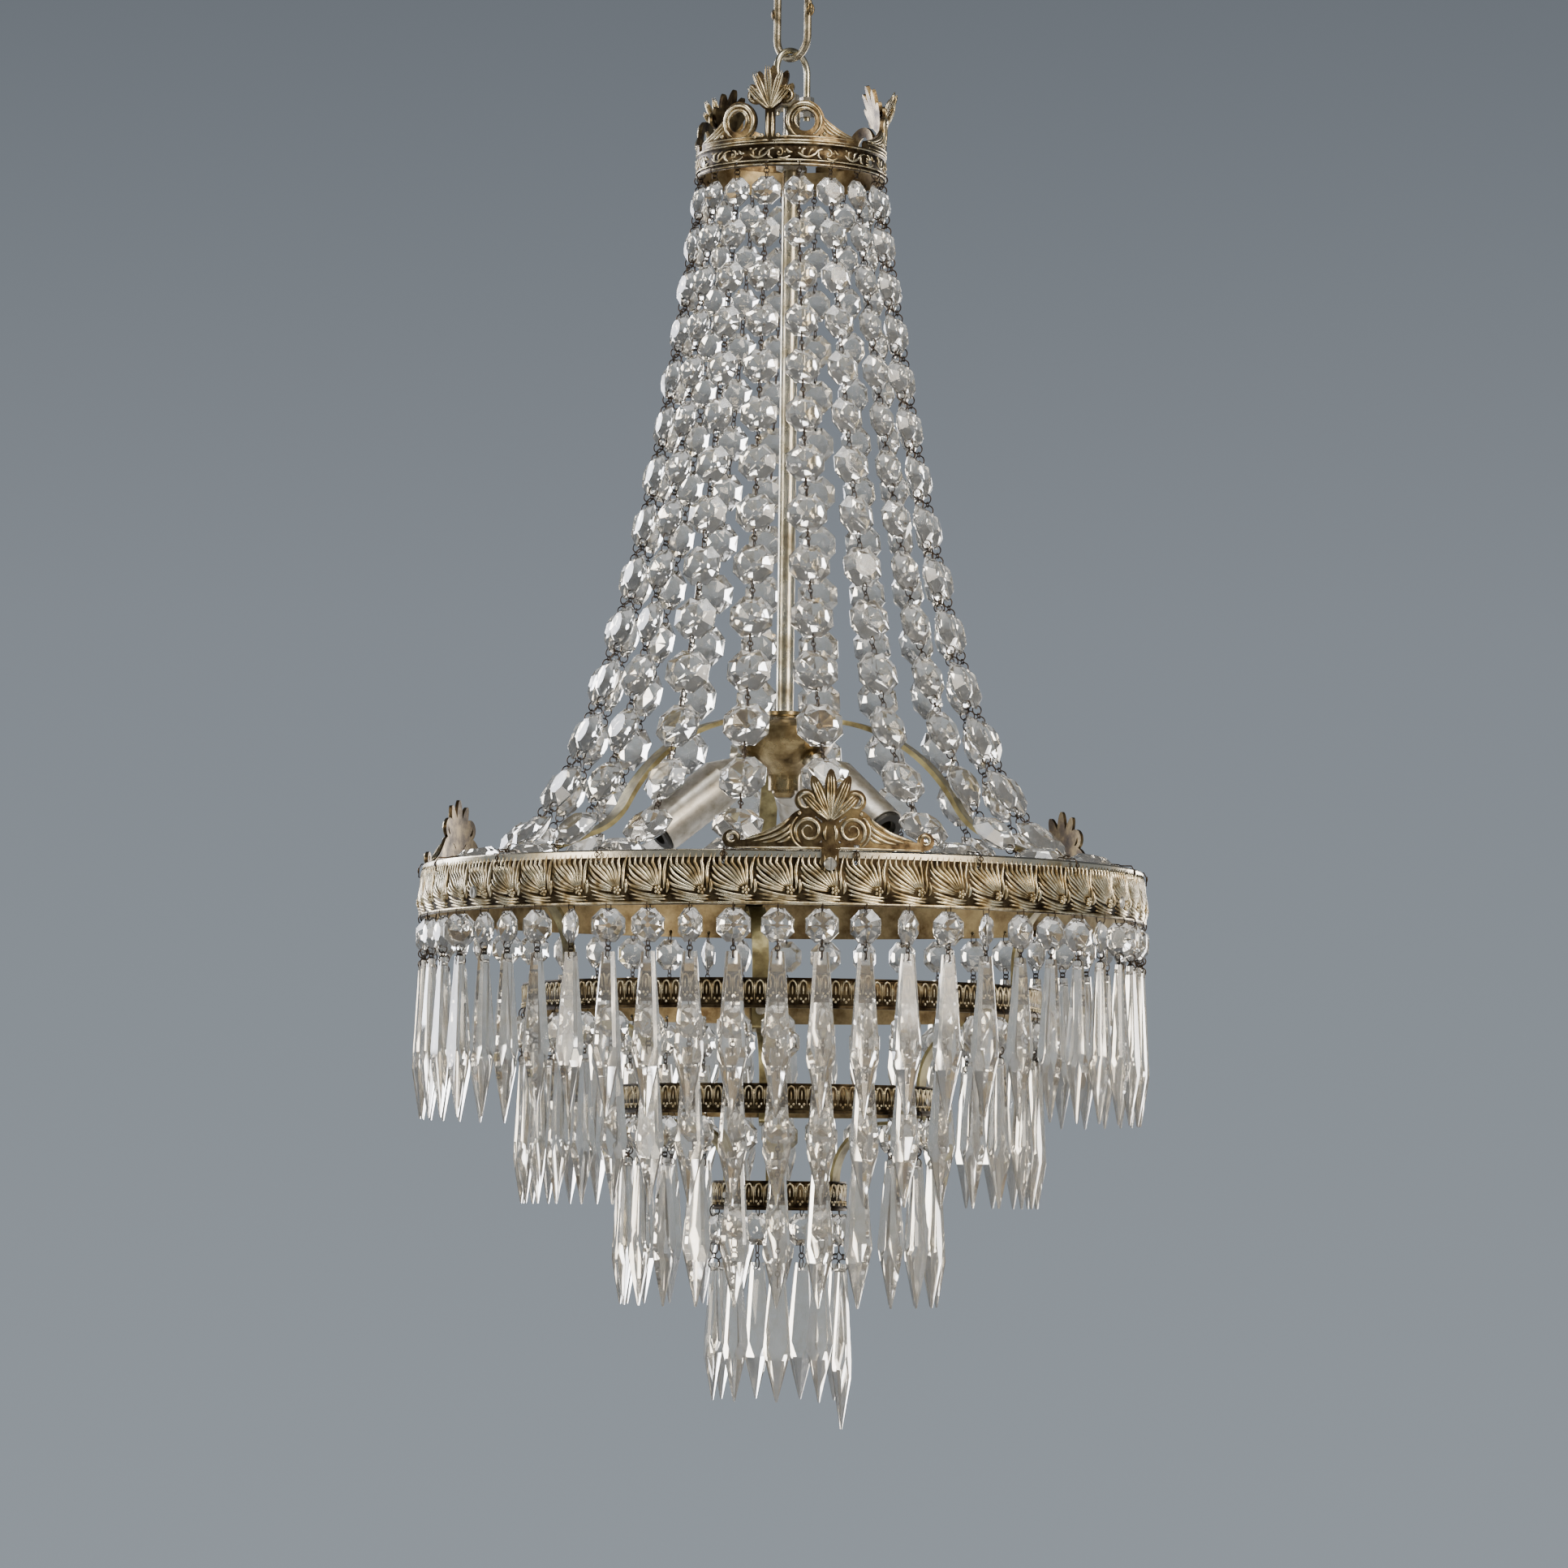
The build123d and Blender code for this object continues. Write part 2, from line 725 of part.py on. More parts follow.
def flat_bar(path, width, thick):
    """Sweep a flat bar along a path that lies in the front section."""
    with BuildSketch(Plane(path @ 0, x_dir=along(0), z_dir=path % 0)) as cut:
        Rectangle(width, thick)
    sweep(cut.sketch, path=path)


with BuildPart() as arm:
    with BuildLine(front) as arm_path:
        flat = Line((arm_inner, z_arm), (arm_inner + arm_flat, z_arm))
        bend = JernArc(flat @ 1, flat % 1, arm_bend_radius, -arm_bend_angle)
        return_at = (
            -(bend @ 1).Y + arm_return_radius * sin(radians(arm_bend_angle)),
            (bend @ 1).Z + arm_return_radius * cos(radians(arm_bend_angle)),
        )
        across = tab_top[0] - arm_tab_bend - return_at[0]
        down = return_at[1] - tab_top[1]
        between = hypot(across, down)
        arm_slope = degrees(atan2(down, across) - asin((arm_return_radius + arm_tab_bend) / between))
        straight = sqrt(between**2 - (arm_return_radius + arm_tab_bend) ** 2)
        back = JernArc(bend @ 1, bend % 1, arm_return_radius, arm_bend_angle - arm_slope)
        reach = PolarLine(back @ 1, straight, direction=back % 1)
        turn = JernArc(reach @ 1, reach % 1, arm_tab_bend, arm_slope - 90)
        PolarLine(turn @ 1, arm_tab, direction=turn % 1)
    flat_bar(arm_path.wires()[0], arm_width, arm_thick)
    radial_bores([facing_out(0, arm_seat, z_arm_tab)], rivet_radius + fit, 12)
    with Locations((0, -arm_screw_at, z_arm)):
        Cylinder(rivet_radius + fit, 2 * arm_thick, mode=Mode.SUBTRACT)
keep_turned(arm.part, arm_count, arm_azimuth, "arm")

# ---------------------------------------------------------------- straps from the ring to the tiers
tier_inner = [radius - tier_bead - tier_wall for radius in tier_radii]
tier_feet = [z - tier_height for z in z_tiers]
tier_middles = [z - tier_height / 2 for z in z_tiers]
strap_seats = [flat_seat(radius, strap_width) for radius in tier_inner]
ring_strap_seat = arm_seat - arm_thick - fit / 2

with BuildPart() as strap:
    with BuildLine(front) as strap_path:
        first_radius = ring_strap_seat - strap_thick / 2
        rise = Line((first_radius, z_arm_tab - strap_tab / 2), (first_radius, z_arm_tab + strap_tab / 2))
        piece = JernArc(rise @ 1, rise % 1, strap_bend, 90)
        for seat, foot, wanted_arc in zip(strap_seats, tier_feet, strap_arcs):
            reach_in = -(piece @ 1).Y - (seat - strap_thick / 2)
            fall = (piece @ 1).Z - foot
            arc = min(wanted_arc, reach_in - strap_least_run, fall - strap_tail - strap_least_run)
            inward = PolarLine(piece @ 1, reach_in - arc, direction=piece % 1)
            quarter = JernArc(inward @ 1, inward % 1, arc, 90)
            last = foot == tier_feet[-1]
            end = foot + strap_tail if last else foot
            wall = PolarLine(quarter @ 1, (quarter @ 1).Z - end, direction=quarter % 1)
            if not last:
                piece = JernArc(wall @ 1, wall % 1, strap_bend, -90)
    flat_bar(strap_path.wires()[0], strap_width, strap_thick)
    radial_bores([facing_out(0, ring_strap_seat, z_arm_tab)], rivet_radius + fit, 12)
    radial_bores([facing_out(0, r, z) for r, z in zip(strap_seats, tier_middles)], rivet_radius + fit, 6)
keep_turned(strap.part, arm_count, arm_azimuth, "strap")

# ---------------------------------------------------------------- main ring, rim and crests


def beside_straps(azimuth, radius):
    """Azimuth of a fringe hole, moved just beside a strap if it would meet one."""
    least = degrees((strap_width / 2 + wire + 2 * slip) / radius)
    for strap_at in arm_azimuths:
        if abs(azimuth - strap_at) < least:
            return strap_at + (least if azimuth >= strap_at else -least)
    return azimuth


fringe_places = [
    [beside_straps(azimuth, radius) for azimuth in round_the_axis(count, fringe_azimuth)]
    for count, radius in zip(fringe_counts, (ring_inner, *tier_inner))
]
strand_feet = round_the_axis(strand_count, strand_foot_azimuth)
crest_azimuths = round_the_axis(crest_count, crest_azimuth)
z_foot_bead = z_ring_foot + 1.8
z_rim_hole = z_ring_top - 2.4
z_crest_screw = z_rim - crest_tab + 3

with BuildPart() as main_band:
    with BuildSketch(Plane.XZ):
        with BuildLine():
            Polyline(
                (ring_inner, z_ring_foot),
                (ring_radius - 0.6, z_ring_foot),
                (ring_radius - 0.6, z_foot_bead),
                (ring_shoulder + 0.4, z_foot_bead + 0.6),
            )
            ThreePointArc(
                (ring_shoulder + 0.4, z_foot_bead + 0.6),
                (ring_radius, (z_foot_bead + z_rim - ring_shoulder_drop) / 2),
                (ring_shoulder, z_rim - ring_shoulder_drop),
            )
            Polyline(
                (ring_shoulder, z_rim - ring_shoulder_drop),
                (ring_shoulder, z_ring_top),
                (ring_inner, z_ring_top),
                (ring_inner, z_ring_foot),
            )
        make_face()
    revolve(axis=Axis.Z)
    radial_bores([facing_out(a, ring_inner, z_ring_foot + hole_rise) for a in fringe_places[0]], wire_hole / 2, 10)
    radial_bores([facing_out(a, ring_inner, z_rim_hole) for a in strand_feet], wire_hole / 2, 10)
    radial_bores([facing_out(a, ring_inner, z_arm_tab) for a in arm_azimuths], rivet_radius + fit, 10)
    radial_bores([facing_out(a, ring_inner, z_crest_screw) for a in crest_azimuths], rivet_radius + fit, 10)
keep(main_band.part, "main_band")

with BuildPart() as main_rim:
    with BuildSketch(Plane.XZ):
        with Locations((ring_shoulder - rim_width / 2, z_ring_top + rim_height / 2)):
            Rectangle(rim_width, rim_height)
    revolve(axis=Axis.Z)
    fillet(main_rim.edges().group_by(Axis.Z)[-1], rim_round)
keep(main_rim.part, "main_rim")

crest_radius = ring_shoulder + fit
notch_offset = crest_radius * sin(radians(strand_foot_azimuth - crest_azimuth))
with BuildPart() as crest:
    with BuildSketch(facing_out(0, crest_radius - 12, z_rim)):
        Rectangle(2 * crest_half, 3.5, align=(Align.CENTER, Align.MIN))
        Rectangle(crest_tab_width, 2 * crest_tab)
        for side in (-1, 1):
            with BuildLine():
                Polyline((side * 8, 20), (side * 8, 2), (side * (crest_half - 3), 2), (side * (crest_half - 3), 4.5))
                ThreePointArc((side * (crest_half - 3), 4.5), (side * 30, 9.5), (side * 21, 17))
                ThreePointArc((side * 21, 17), (side * 16, 20.5), (side * 8, 20))
            make_face()
            with Locations((side * (crest_volute + 3.3), crest_volute + 1.3)):
                Circle(crest_volute)
            with Locations((side * 13, 25.5)):
                Circle(5.8)
            with Locations((side * (crest_half + 1), 5.2)):
                Circle(4.6)
            with Locations((side * (crest_half + 1.5), 6.2)):
                Circle(1.6, mode=Mode.SUBTRACT)
            with Locations((side * 12.8, 25.0)):
                Circle(3.0, mode=Mode.SUBTRACT)
        Rectangle(9, 20, align=(Align.CENTER, Align.MIN))
        with Locations((0, 14)):
            palmette(((0, 1.0), (-22, 0.94), (22, 0.94), (-44, 0.78), (44, 0.78)), 7.0, crest_palmette - 14)
        with Locations((notch_offset, 0)):
            Rectangle(3.0, 2 * (rim_loop_clear + wire + 0.9), mode=Mode.SUBTRACT)
    extrude(amount=24)
    with BuildSketch(Plane.XY.offset(z_rim - crest_tab)):
        Circle(crest_radius + crest_thick)
        Circle(crest_radius, mode=Mode.SUBTRACT)
    extrude(amount=crest_tab + crest_palmette + 1, mode=Mode.INTERSECT)
    radial_bores([facing_out(0, crest_radius, z_crest_screw)], rivet_radius + fit, 10)
keep_turned(crest.part, crest_count, crest_azimuth, "crest")


def slotted_screw(length):
    """Screw on its own axis with a slotted round head on the near side."""
    with BuildPart() as screw:
        add(rivet(length, rivet_radius, rivet_head + 0.6, rivet_head_thick + 0.6))
        with Locations((0, 0, -rivet_head_thick - 0.6)):
            Box(0.8, 4 * rivet_head, 1.2, mode=Mode.SUBTRACT)
    return screw.part.solid()


def driven_inwards(azimuth, radius, height):
    """Location of a screw whose head is outside at a radius and whose point looks at the axis."""
    return Plane(
        outward(azimuth) * radius + Vector(0, 0, height), x_dir=along(azimuth), z_dir=-outward(azimuth)
    ).location


crest_face = crest_radius + crest_thick
crest_screw = slotted_screw(crest_face - ring_inner + 1.5)
strap_screw = slotted_screw(ring_radius - ring_strap_seat + strap_thick + 2.0)
keep_group(
    [crest_screw.moved(driven_inwards(a, crest_face + fit / 2, z_crest_screw)) for a in crest_azimuths]
    + [strap_screw.moved(driven_inwards(a, ring_radius + fit / 2, z_arm_tab)) for a in arm_azimuths],
    "ring_screws",
)
arm_screw = slotted_screw(arm_thick + arm_screw_bite)
keep_group(
    [
        arm_screw.moved(
            Plane(
                outward(a) * arm_screw_at + Vector(0, 0, z_arm + arm_thick / 2 + fit / 2),
                x_dir=along(a),
                z_dir=(0, 0, -1),
            ).location
        )
        for a in arm_azimuths
    ],
    "arm_screws",
)

# ---------------------------------------------------------------- lower tiers
for number, (radius, inner, foot, places) in enumerate(
    zip(tier_radii, tier_inner, tier_feet, fringe_places[1:]), start=2
):
    with BuildPart() as tier_band:
        with BuildSketch(section_plane((places[0] + places[1]) / 2)):
            with BuildLine():
                Polyline(
                    (inner, foot),
                    (radius, foot),
                    (radius, foot + tier_bead_height),
                    (radius - tier_bead, foot + tier_bead_height + 0.5),
                )
                ThreePointArc(
                    (radius - tier_bead, foot + tier_bead_height + 0.5),
                    (radius - 0.3, foot + tier_height * 0.6),
                    (radius - tier_bead, foot + tier_height - 1.2),
                )
                Polyline(
                    (radius - tier_bead, foot + tier_height - 1.2),
                    (radius - 0.4, foot + tier_height - 0.8),
                    (radius - 0.4, foot + tier_height),
                    (inner, foot + tier_height),
                    (inner, foot),
                )
            make_face()
        revolve(axis=Axis.Z)
        radial_bores([facing_out(a, inner, foot + hole_rise) for a in places], wire_hole / 2, 8)
        radial_bores([facing_out(a, inner, foot + tier_height / 2) for a in arm_azimuths], rivet_radius + fit, 8)
    keep(tier_band.part, f"tier_{number}_band")

keep_group(
    [
        rivet(radius - seat + strap_thick, rivet_radius, rivet_head, rivet_head_thick).moved(
            facing_out(azimuth, seat - strap_thick, height).location
        )
        for radius, seat, height in zip(tier_radii, strap_seats, tier_middles)
        for azimuth in arm_azimuths
    ],
    "strap_rivets",
)


# ---------------------------------------------------------------- octagon beads and the wire loops between them
def bead_depth(distance):
    """Thickness of a bead at a distance in from its edge."""
    return bead_girdle + 2 * bead_slope * distance


def octagon_bead(diameter):
    """Cut octagon, drilled near two opposite sides: x runs across, y along the strand, z out of its face."""
    bevel = diameter * (1 - bead_table) / 2
    with BuildPart() as bead:
        with BuildSketch(Plane.XY.offset(bead_girdle / 2)) as outline:
            RegularPolygon(diameter / 2, 8, major_radius=False, rotation=22.5)
        extrude(outline.sketch, amount=-bead_girdle / 2)
        with BuildSketch(Plane.XY.offset(bead_girdle / 2 + bevel * bead_slope)) as table:
            RegularPolygon(diameter * bead_table / 2, 8, major_radius=False, rotation=22.5)
        loft([outline.sketch.face(), table.sketch.face()], ruled=True)
        mirror(about=Plane.XY)
        with Locations((0, diameter / 2 - bead_inset, 0), (0, bead_inset - diameter / 2, 0)):
            Cylinder(wire_hole / 2, diameter, mode=Mode.SUBTRACT)
    return bead.part.solid()


def loop_dip(depth):
    """How far a loop's bend pulls back over half the depth of the hole that it passes."""
    return wire_bend - sqrt(wire_bend**2 - (depth / 2) ** 2)


def wire_loop(start, end, face_normal, depths):
    """Closed loop of wire through two holes, where the wire passes along the normal."""
    span = start - end
    axis = span.normalized().cross(face_normal).normalized()
    across = axis.cross(span.normalized())
    half = (span.length + (loop_dip(depths[0]) + loop_dip(depths[1])) / 2) / 2 - wire_bend
    middle = (start + end) * 0.5 + span.normalized() * (loop_dip(depths[0]) - loop_dip(depths[1])) / 4
    with BuildPart() as loop:
        with BuildLine(Plane((0, 0, 0), x_dir=(0, 0, 1), z_dir=(-1, 0, 0))) as path:
            Line((wire_bend, -half), (wire_bend, half))
            RadiusArc((wire_bend, half), (-wire_bend, half), -wire_bend)
            Line((-wire_bend, half), (-wire_bend, -half))
            RadiusArc((-wire_bend, -half), (wire_bend, -half), -wire_bend)
        with BuildSketch(Plane((0, -half, wire_bend), z_dir=(0, 1, 0))):
            Circle(wire / 2)
        sweep(path=path.wires()[0])
    return loop.part.solid().moved(Plane(middle, x_dir=axis, z_dir=across).location)


def turned_to(pieces, azimuths, made_at):
    """Copies of some pieces that were made at one azimuth, turned to each of the others."""
    return [piece.moved(Location((0, 0, 0), (0, 0, a - made_at))) for a in azimuths for piece in pieces]


# ---------------------------------------------------------------- strands from the crown to the ring
strand_sizes = [
    strand_top_bead + (strand_foot_bead - strand_top_bead) * i / (strand_beads_each - 1)
    for i in range(strand_beads_each)
]
strand_top_radius = crown_radius - crown_wall / 2
z_first_bead = z_crown_foot - strand_top_gap - strand_top_bead / 2
strand_height = z_first_bead - z_rim
strand_spread = ring_radius - strand_top_radius


def strand_at(share):
    """Radius and height of the strand's curve, from 1 at the first bead to 0 at the rim."""
    return ring_radius - strand_spread * share, z_rim + strand_height * share**strand_power


curve_steps = 2000
curve = [strand_at(1 - i / curve_steps) for i in range(curve_steps + 1)]
lengths = [0.0]
for (r0, h0), (r1, h1) in zip(curve, curve[1:]):
    lengths.append(lengths[-1] + hypot(r1 - r0, h1 - h0))
strand_gap = (lengths[-1] - strand_foot_gap - sum(strand_sizes) + strand_top_bead / 2) / (strand_beads_each - 1)
print(f"strand length {lengths[-1]:.1f} mm, gap between beads {strand_gap:.2f} mm")


distances = [0.0]
for above, below in zip(strand_sizes, strand_sizes[1:]):
    distances.append(distances[-1] + above / 2 + strand_gap + below / 2)


def strand_plane(distance):
    """Plane of a bead at a distance down the curve: y points up the strand, z out of the bead's face."""
    i = min(range(1, curve_steps), key=lambda k: abs(lengths[k] - distance))
    (r0, h0), (r1, h1) = curve[i + 1], curve[i - 1]
    azimuth = strand_top_azimuth + (strand_foot_azimuth - strand_top_azimuth) * distance / distances[-1]
    up = (outward(azimuth) * (r1 - r0) + Vector(0, 0, h1 - h0)).normalized()
    place = outward(azimuth) * curve[i][0] + Vector(0, 0, curve[i][1])
    return Plane(place, x_dir=along(azimuth), z_dir=along(azimuth).cross(up))


bead_planes = [strand_plane(distance) for distance in distances]
strand_beads = [octagon_bead(size).moved(plane.location) for size, plane in zip(strand_sizes, bead_planes)]
hole_depth = bead_depth(bead_inset)
upper_holes = [p.from_local_coords((0, s / 2 - bead_inset, 0)) for p, s in zip(bead_planes, strand_sizes)]
lower_holes = [p.from_local_coords((0, bead_inset - s / 2, 0)) for p, s in zip(bead_planes, strand_sizes)]
crown_hole = facing_out(strand_top_azimuth, strand_top_radius, z_crown_foot + hole_rise).origin
strand_loops = [wire_loop(crown_hole, upper_holes[0], outward(strand_top_azimuth), (crown_wall, hole_depth))]
for i in range(strand_beads_each - 1):
    normal = (bead_planes[i].z_dir + bead_planes[i + 1].z_dir).normalized()
    strand_loops.append(wire_loop(lower_holes[i], upper_holes[i + 1], normal, (hole_depth, hole_depth)))

# The last loop of a strand goes through the last bead, over the rim and through the band below it
last_plane = bead_planes[-1]
last_hole = section_plane(strand_foot_azimuth).to_local_coords(lower_holes[-1])
last_normal = section_plane(strand_foot_azimuth).to_local_coords(lower_holes[-1] + last_plane.z_dir) - last_hole
reach = hole_depth / 2 + 1.0
outer_side = ring_radius + rim_loop_outside
with BuildPart() as rim_loop:
    with BuildLine(section_plane(strand_foot_azimuth)) as rim_path:
        FilletPolyline(
            (last_hole.X + last_normal.X * reach, last_hole.Y + last_normal.Y * reach),
            (last_hole.X - last_normal.X * reach, last_hole.Y - last_normal.Y * reach),
            (rim_inner - rim_loop_inside, z_rim_hole),
            (outer_side, z_rim_hole),
            (outer_side, z_rim + rim_loop_clear),
            radius=0.9,
            close=True,
        )
    rim_wire = rim_path.wires()[0]
    with BuildSketch(Plane(rim_wire @ 0, z_dir=rim_wire % 0)):
        Circle(wire / 2)
    sweep(path=rim_wire)
strand_loops.append(rim_loop.part.solid())
keep_group(turned_to(strand_beads, strand_feet, strand_foot_azimuth), "strand_beads")
keep_group(turned_to(strand_loops, strand_feet, strand_foot_azimuth), "strand_loops")


# ---------------------------------------------------------------- spears and their octagons
def spear(length):
    """Cut spear with the hole at the origin: x runs across, y up, z out of its face."""
    top = spear_hole_inset
    tip = top - length
    half_sizes = {
        0: (spear_top_width / 2, spear_belly_width / 2, spear_belly_at),
        90: (spear_top_thick / 2, spear_belly_thick / 2, spear_belly_at + 0.05),
        45: (0.36 * (spear_top_width + spear_top_thick) / sqrt(2), 0.41 * (spear_belly_width + spear_belly_thick) / sqrt(2), 0.58),
    }
    half_sizes[-45] = half_sizes[45]
    with BuildPart() as crystal:
        for angle, (at_top, at_belly, share) in half_sizes.items():
            direction = (cos(radians(angle)), 0, sin(radians(angle)))
            normal = (-sin(radians(angle)), 0, cos(radians(angle)))
            belly = top - share * length
            with BuildSketch(Plane((0, 0, 0), x_dir=direction, z_dir=normal)) as outline:
                with BuildLine():
                    Polyline(
                        (at_top, top), (at_belly, belly), (0.5, tip), (-0.5, tip), (-at_belly, belly), (-at_top, top), close=True
                    )
                make_face()
            extrude(outline.sketch, amount=length / 2, both=True, mode=Mode.ADD if angle == 0 else Mode.INTERSECT)
        Cylinder(wire_hole / 2, length, mode=Mode.SUBTRACT)
    return crystal.part.solid()


fringe_bead = octagon_bead(fringe_octagon)
fringe_radii = [(ring_inner + ring_shoulder + 0.4) / 2] + [r - (tier_bead + tier_wall) / 2 for r in tier_radii]
fringe_feet = [z_ring_foot] + tier_feet
fringe_walls = [ring_shoulder + 0.4 - ring_inner] + [tier_wall] * len(tier_radii)
octagon_groups = []
spear_groups = []
loop_groups = []
for radius, foot, wall, gap, length, places in zip(
    fringe_radii, fringe_feet, fringe_walls, fringe_gaps, spear_lengths, fringe_places
):
    octagon_top = foot - fringe_top_gap
    octagon_foot = octagon_top - fringe_octagon
    z_spear_hole = octagon_foot - gap - spear_hole_inset
    holes = [
        facing_out(fringe_azimuth, radius, height).origin
        for height in (foot + hole_rise, octagon_top - bead_inset, octagon_foot + bead_inset, z_spear_hole)
    ]
    octagon = fringe_bead.moved(facing_out(fringe_azimuth, radius, octagon_top - fringe_octagon / 2).location)
    hook = wire_loop(holes[0], holes[1], outward(fringe_azimuth), (wall, hole_depth))
    link = wire_loop(holes[2], holes[3], outward(fringe_azimuth), (hole_depth, spear_top_thick))
    octagon_groups.append(turned_to([octagon], places, fringe_azimuth))
    loop_groups.append(turned_to([hook, link], places, fringe_azimuth))
    hanging_spear = spear(length).moved(facing_out(fringe_azimuth, radius, z_spear_hole).location)
    spear_groups.append(turned_to([hanging_spear], places, fringe_azimuth))

for number, octagons in enumerate(octagon_groups, start=1):
    keep_group(octagons, f"tier_{number}_octagons")
keep_group([loop for loops in loop_groups for loop in loops], "fringe_loops")
for number, spears in enumerate(spear_groups[:3], start=1):
    keep_group(spears, f"tier_{number}_spears")

# The nine spears of the lowest tier hang one by one, each free to swing on its own loop
lowest_place = facing_out(fringe_places[3][spear_long_place], fringe_radii[3], holes[3].Z)
spear_groups[3][spear_long_place] = spear(spear_long).moved(lowest_place.location)
for i, crystal in enumerate(spear_groups[3]):
    keep(crystal, f"bottom_spear_{i + 1}")

hinge_height = holes[3].Z + wire_bend - loop_dip(spear_top_thick) / 2
print(f"bottom spears: hinge radius {fringe_radii[3]:.3f}, height {hinge_height:.3f}, first azimuth {fringe_azimuth}")
print(f"hang {z_hang:.2f} crown {z_crown:.2f} hub {z_hub:.2f} rim {z_rim:.2f} tiers {z_tiers}")
for i, azimuth in enumerate(holder_azimuths):
    mouth = holder_plane(azimuth, socket_mouth_at - 3)
    print(f"socket {i + 1}: mouth {tuple(round(v, 3) for v in mouth.origin)} axis {tuple(round(v, 5) for v in mouth.z_dir)}")
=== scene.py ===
from math import cos, degrees, pi, radians, sin

import bpy
import numpy as np
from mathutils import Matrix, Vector


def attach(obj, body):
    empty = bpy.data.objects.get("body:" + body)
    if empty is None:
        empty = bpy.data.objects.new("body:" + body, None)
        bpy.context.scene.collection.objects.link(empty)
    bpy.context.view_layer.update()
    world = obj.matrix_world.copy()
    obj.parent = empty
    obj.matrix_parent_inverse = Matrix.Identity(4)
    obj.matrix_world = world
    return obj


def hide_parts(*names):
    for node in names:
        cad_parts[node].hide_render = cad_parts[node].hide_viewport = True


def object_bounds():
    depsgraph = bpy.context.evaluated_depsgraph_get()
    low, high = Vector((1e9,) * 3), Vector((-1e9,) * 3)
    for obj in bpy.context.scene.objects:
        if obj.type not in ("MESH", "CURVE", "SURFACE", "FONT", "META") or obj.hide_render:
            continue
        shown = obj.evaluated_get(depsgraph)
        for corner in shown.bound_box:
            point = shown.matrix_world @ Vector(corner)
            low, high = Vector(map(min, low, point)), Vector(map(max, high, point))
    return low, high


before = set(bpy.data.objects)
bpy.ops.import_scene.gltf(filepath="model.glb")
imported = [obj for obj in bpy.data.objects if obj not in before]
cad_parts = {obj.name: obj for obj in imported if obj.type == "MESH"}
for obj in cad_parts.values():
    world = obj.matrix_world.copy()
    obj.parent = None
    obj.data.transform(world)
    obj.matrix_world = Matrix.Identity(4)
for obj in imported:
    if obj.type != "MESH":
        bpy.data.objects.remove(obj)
cad_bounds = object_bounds()
mm = 0.001

# ---------------------------------------------------------------- Camera
# It stands 3.3 m in front of the stem, about level with the ring's crests, and looks up a little.
# A small roll gives the lean that the photograph has.
bpy.ops.object.camera_add(location=(0, -3.329, -0.7358), rotation=(radians(94.02), 0, 0))
camera = bpy.context.object
camera.rotation_euler.rotate_axis("Z", radians(0.65))
camera.data.sensor_width = 36
camera.data.lens = 36 * 7450 / 1932
camera.data.clip_end = 60
bpy.context.scene.camera = camera


# ---------------------------------------------------------------- Chain links and bail
# Two oval links and a bail, cast and bent from brass rod, and tarnished. The high places are rubbed pale,
# and brown stays in the pits of the casting.
def linear(hex_code):
    """Linear RGBA of an sRGB hex colour."""
    parts = [int(hex_code[i : i + 2], 16) / 255 for i in (1, 3, 5)]
    return [c / 12.92 if c <= 0.04045 else ((c + 0.055) / 1.055) ** 2.4 for c in parts] + [1.0]


def add_node(tree, kind, settings=(), links=()):
    """Adds a node, sets inputs or properties by name, and links inputs from (node, output) pairs."""
    made = tree.nodes.new(kind)
    for name, value in dict(settings).items():
        if name in made.inputs:
            made.inputs[name].default_value = value
        else:
            setattr(made, name, value)
    for name, (source, output) in dict(links).items():
        tree.links.new(source.outputs[output], made.inputs[name])
    return made


def new_material(name, **sockets):
    """Material with a Principled shader whose uniform values sit on its own sockets."""
    material = bpy.data.materials.new(name)
    material.use_nodes = True
    shader = material.node_tree.nodes["Principled BSDF"]
    for socket, value in sockets.items():
        shader.inputs[socket.replace("_", " ")].default_value = value
    return material, material.node_tree, shader


def tarnished(name, pale, middle, dark, roughness, patch=6.0, pits=0.25, dark_share=0.42):
    """Tarnished metal: patches of three tones some millimetres wide, with fine pits."""
    material, tree, shader = new_material(name, Metallic=1.0)
    place = add_node(tree, "ShaderNodeTexCoord")
    patches = add_node(
        tree,
        "ShaderNodeTexNoise",
        {"Scale": 1 / (patch * mm), "Detail": 4.0, "Roughness": 0.62},
        {"Vector": (place, "Object")},
    )
    tones = add_node(tree, "ShaderNodeValToRGB", links={"Fac": (patches, "Fac")})
    tones.color_ramp.elements[0].position = dark_share - 0.12
    tones.color_ramp.elements[0].color = linear(dark)
    tones.color_ramp.elements[1].position = dark_share + 0.22
    tones.color_ramp.elements[1].color = linear(pale)
    tones.color_ramp.elements.new(dark_share + 0.04).color = linear(middle)
    tree.links.new(tones.outputs["Color"], shader.inputs["Base Color"])
    rough = add_node(
        tree,
        "ShaderNodeMapRange",
        {"From Min": 0.3, "From Max": 0.7, "To Min": roughness + 0.12, "To Max": roughness - 0.06},
        {"Value": (patches, "Fac")},
    )
    tree.links.new(rough.outputs["Result"], shader.inputs["Roughness"])
    grain = add_node(
        tree,
        "ShaderNodeTexNoise",
        {"Scale": 1 / (0.9 * mm), "Detail": 3.0, "Roughness": 0.6},
        {"Vector": (place, "Object")},
    )
    bump = add_node(
        tree, "ShaderNodeBump", {"Strength": pits, "Distance": 0.25 * mm}, {"Height": (grain, "Fac")}
    )
    tree.links.new(bump.outputs["Normal"], shader.inputs["Normal"])
    return material


def dress(material, *names):
    """Gives a material to CAD nodes."""
    for name in names:
        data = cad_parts[name].data
        data.materials.clear()
        data.materials.append(material)


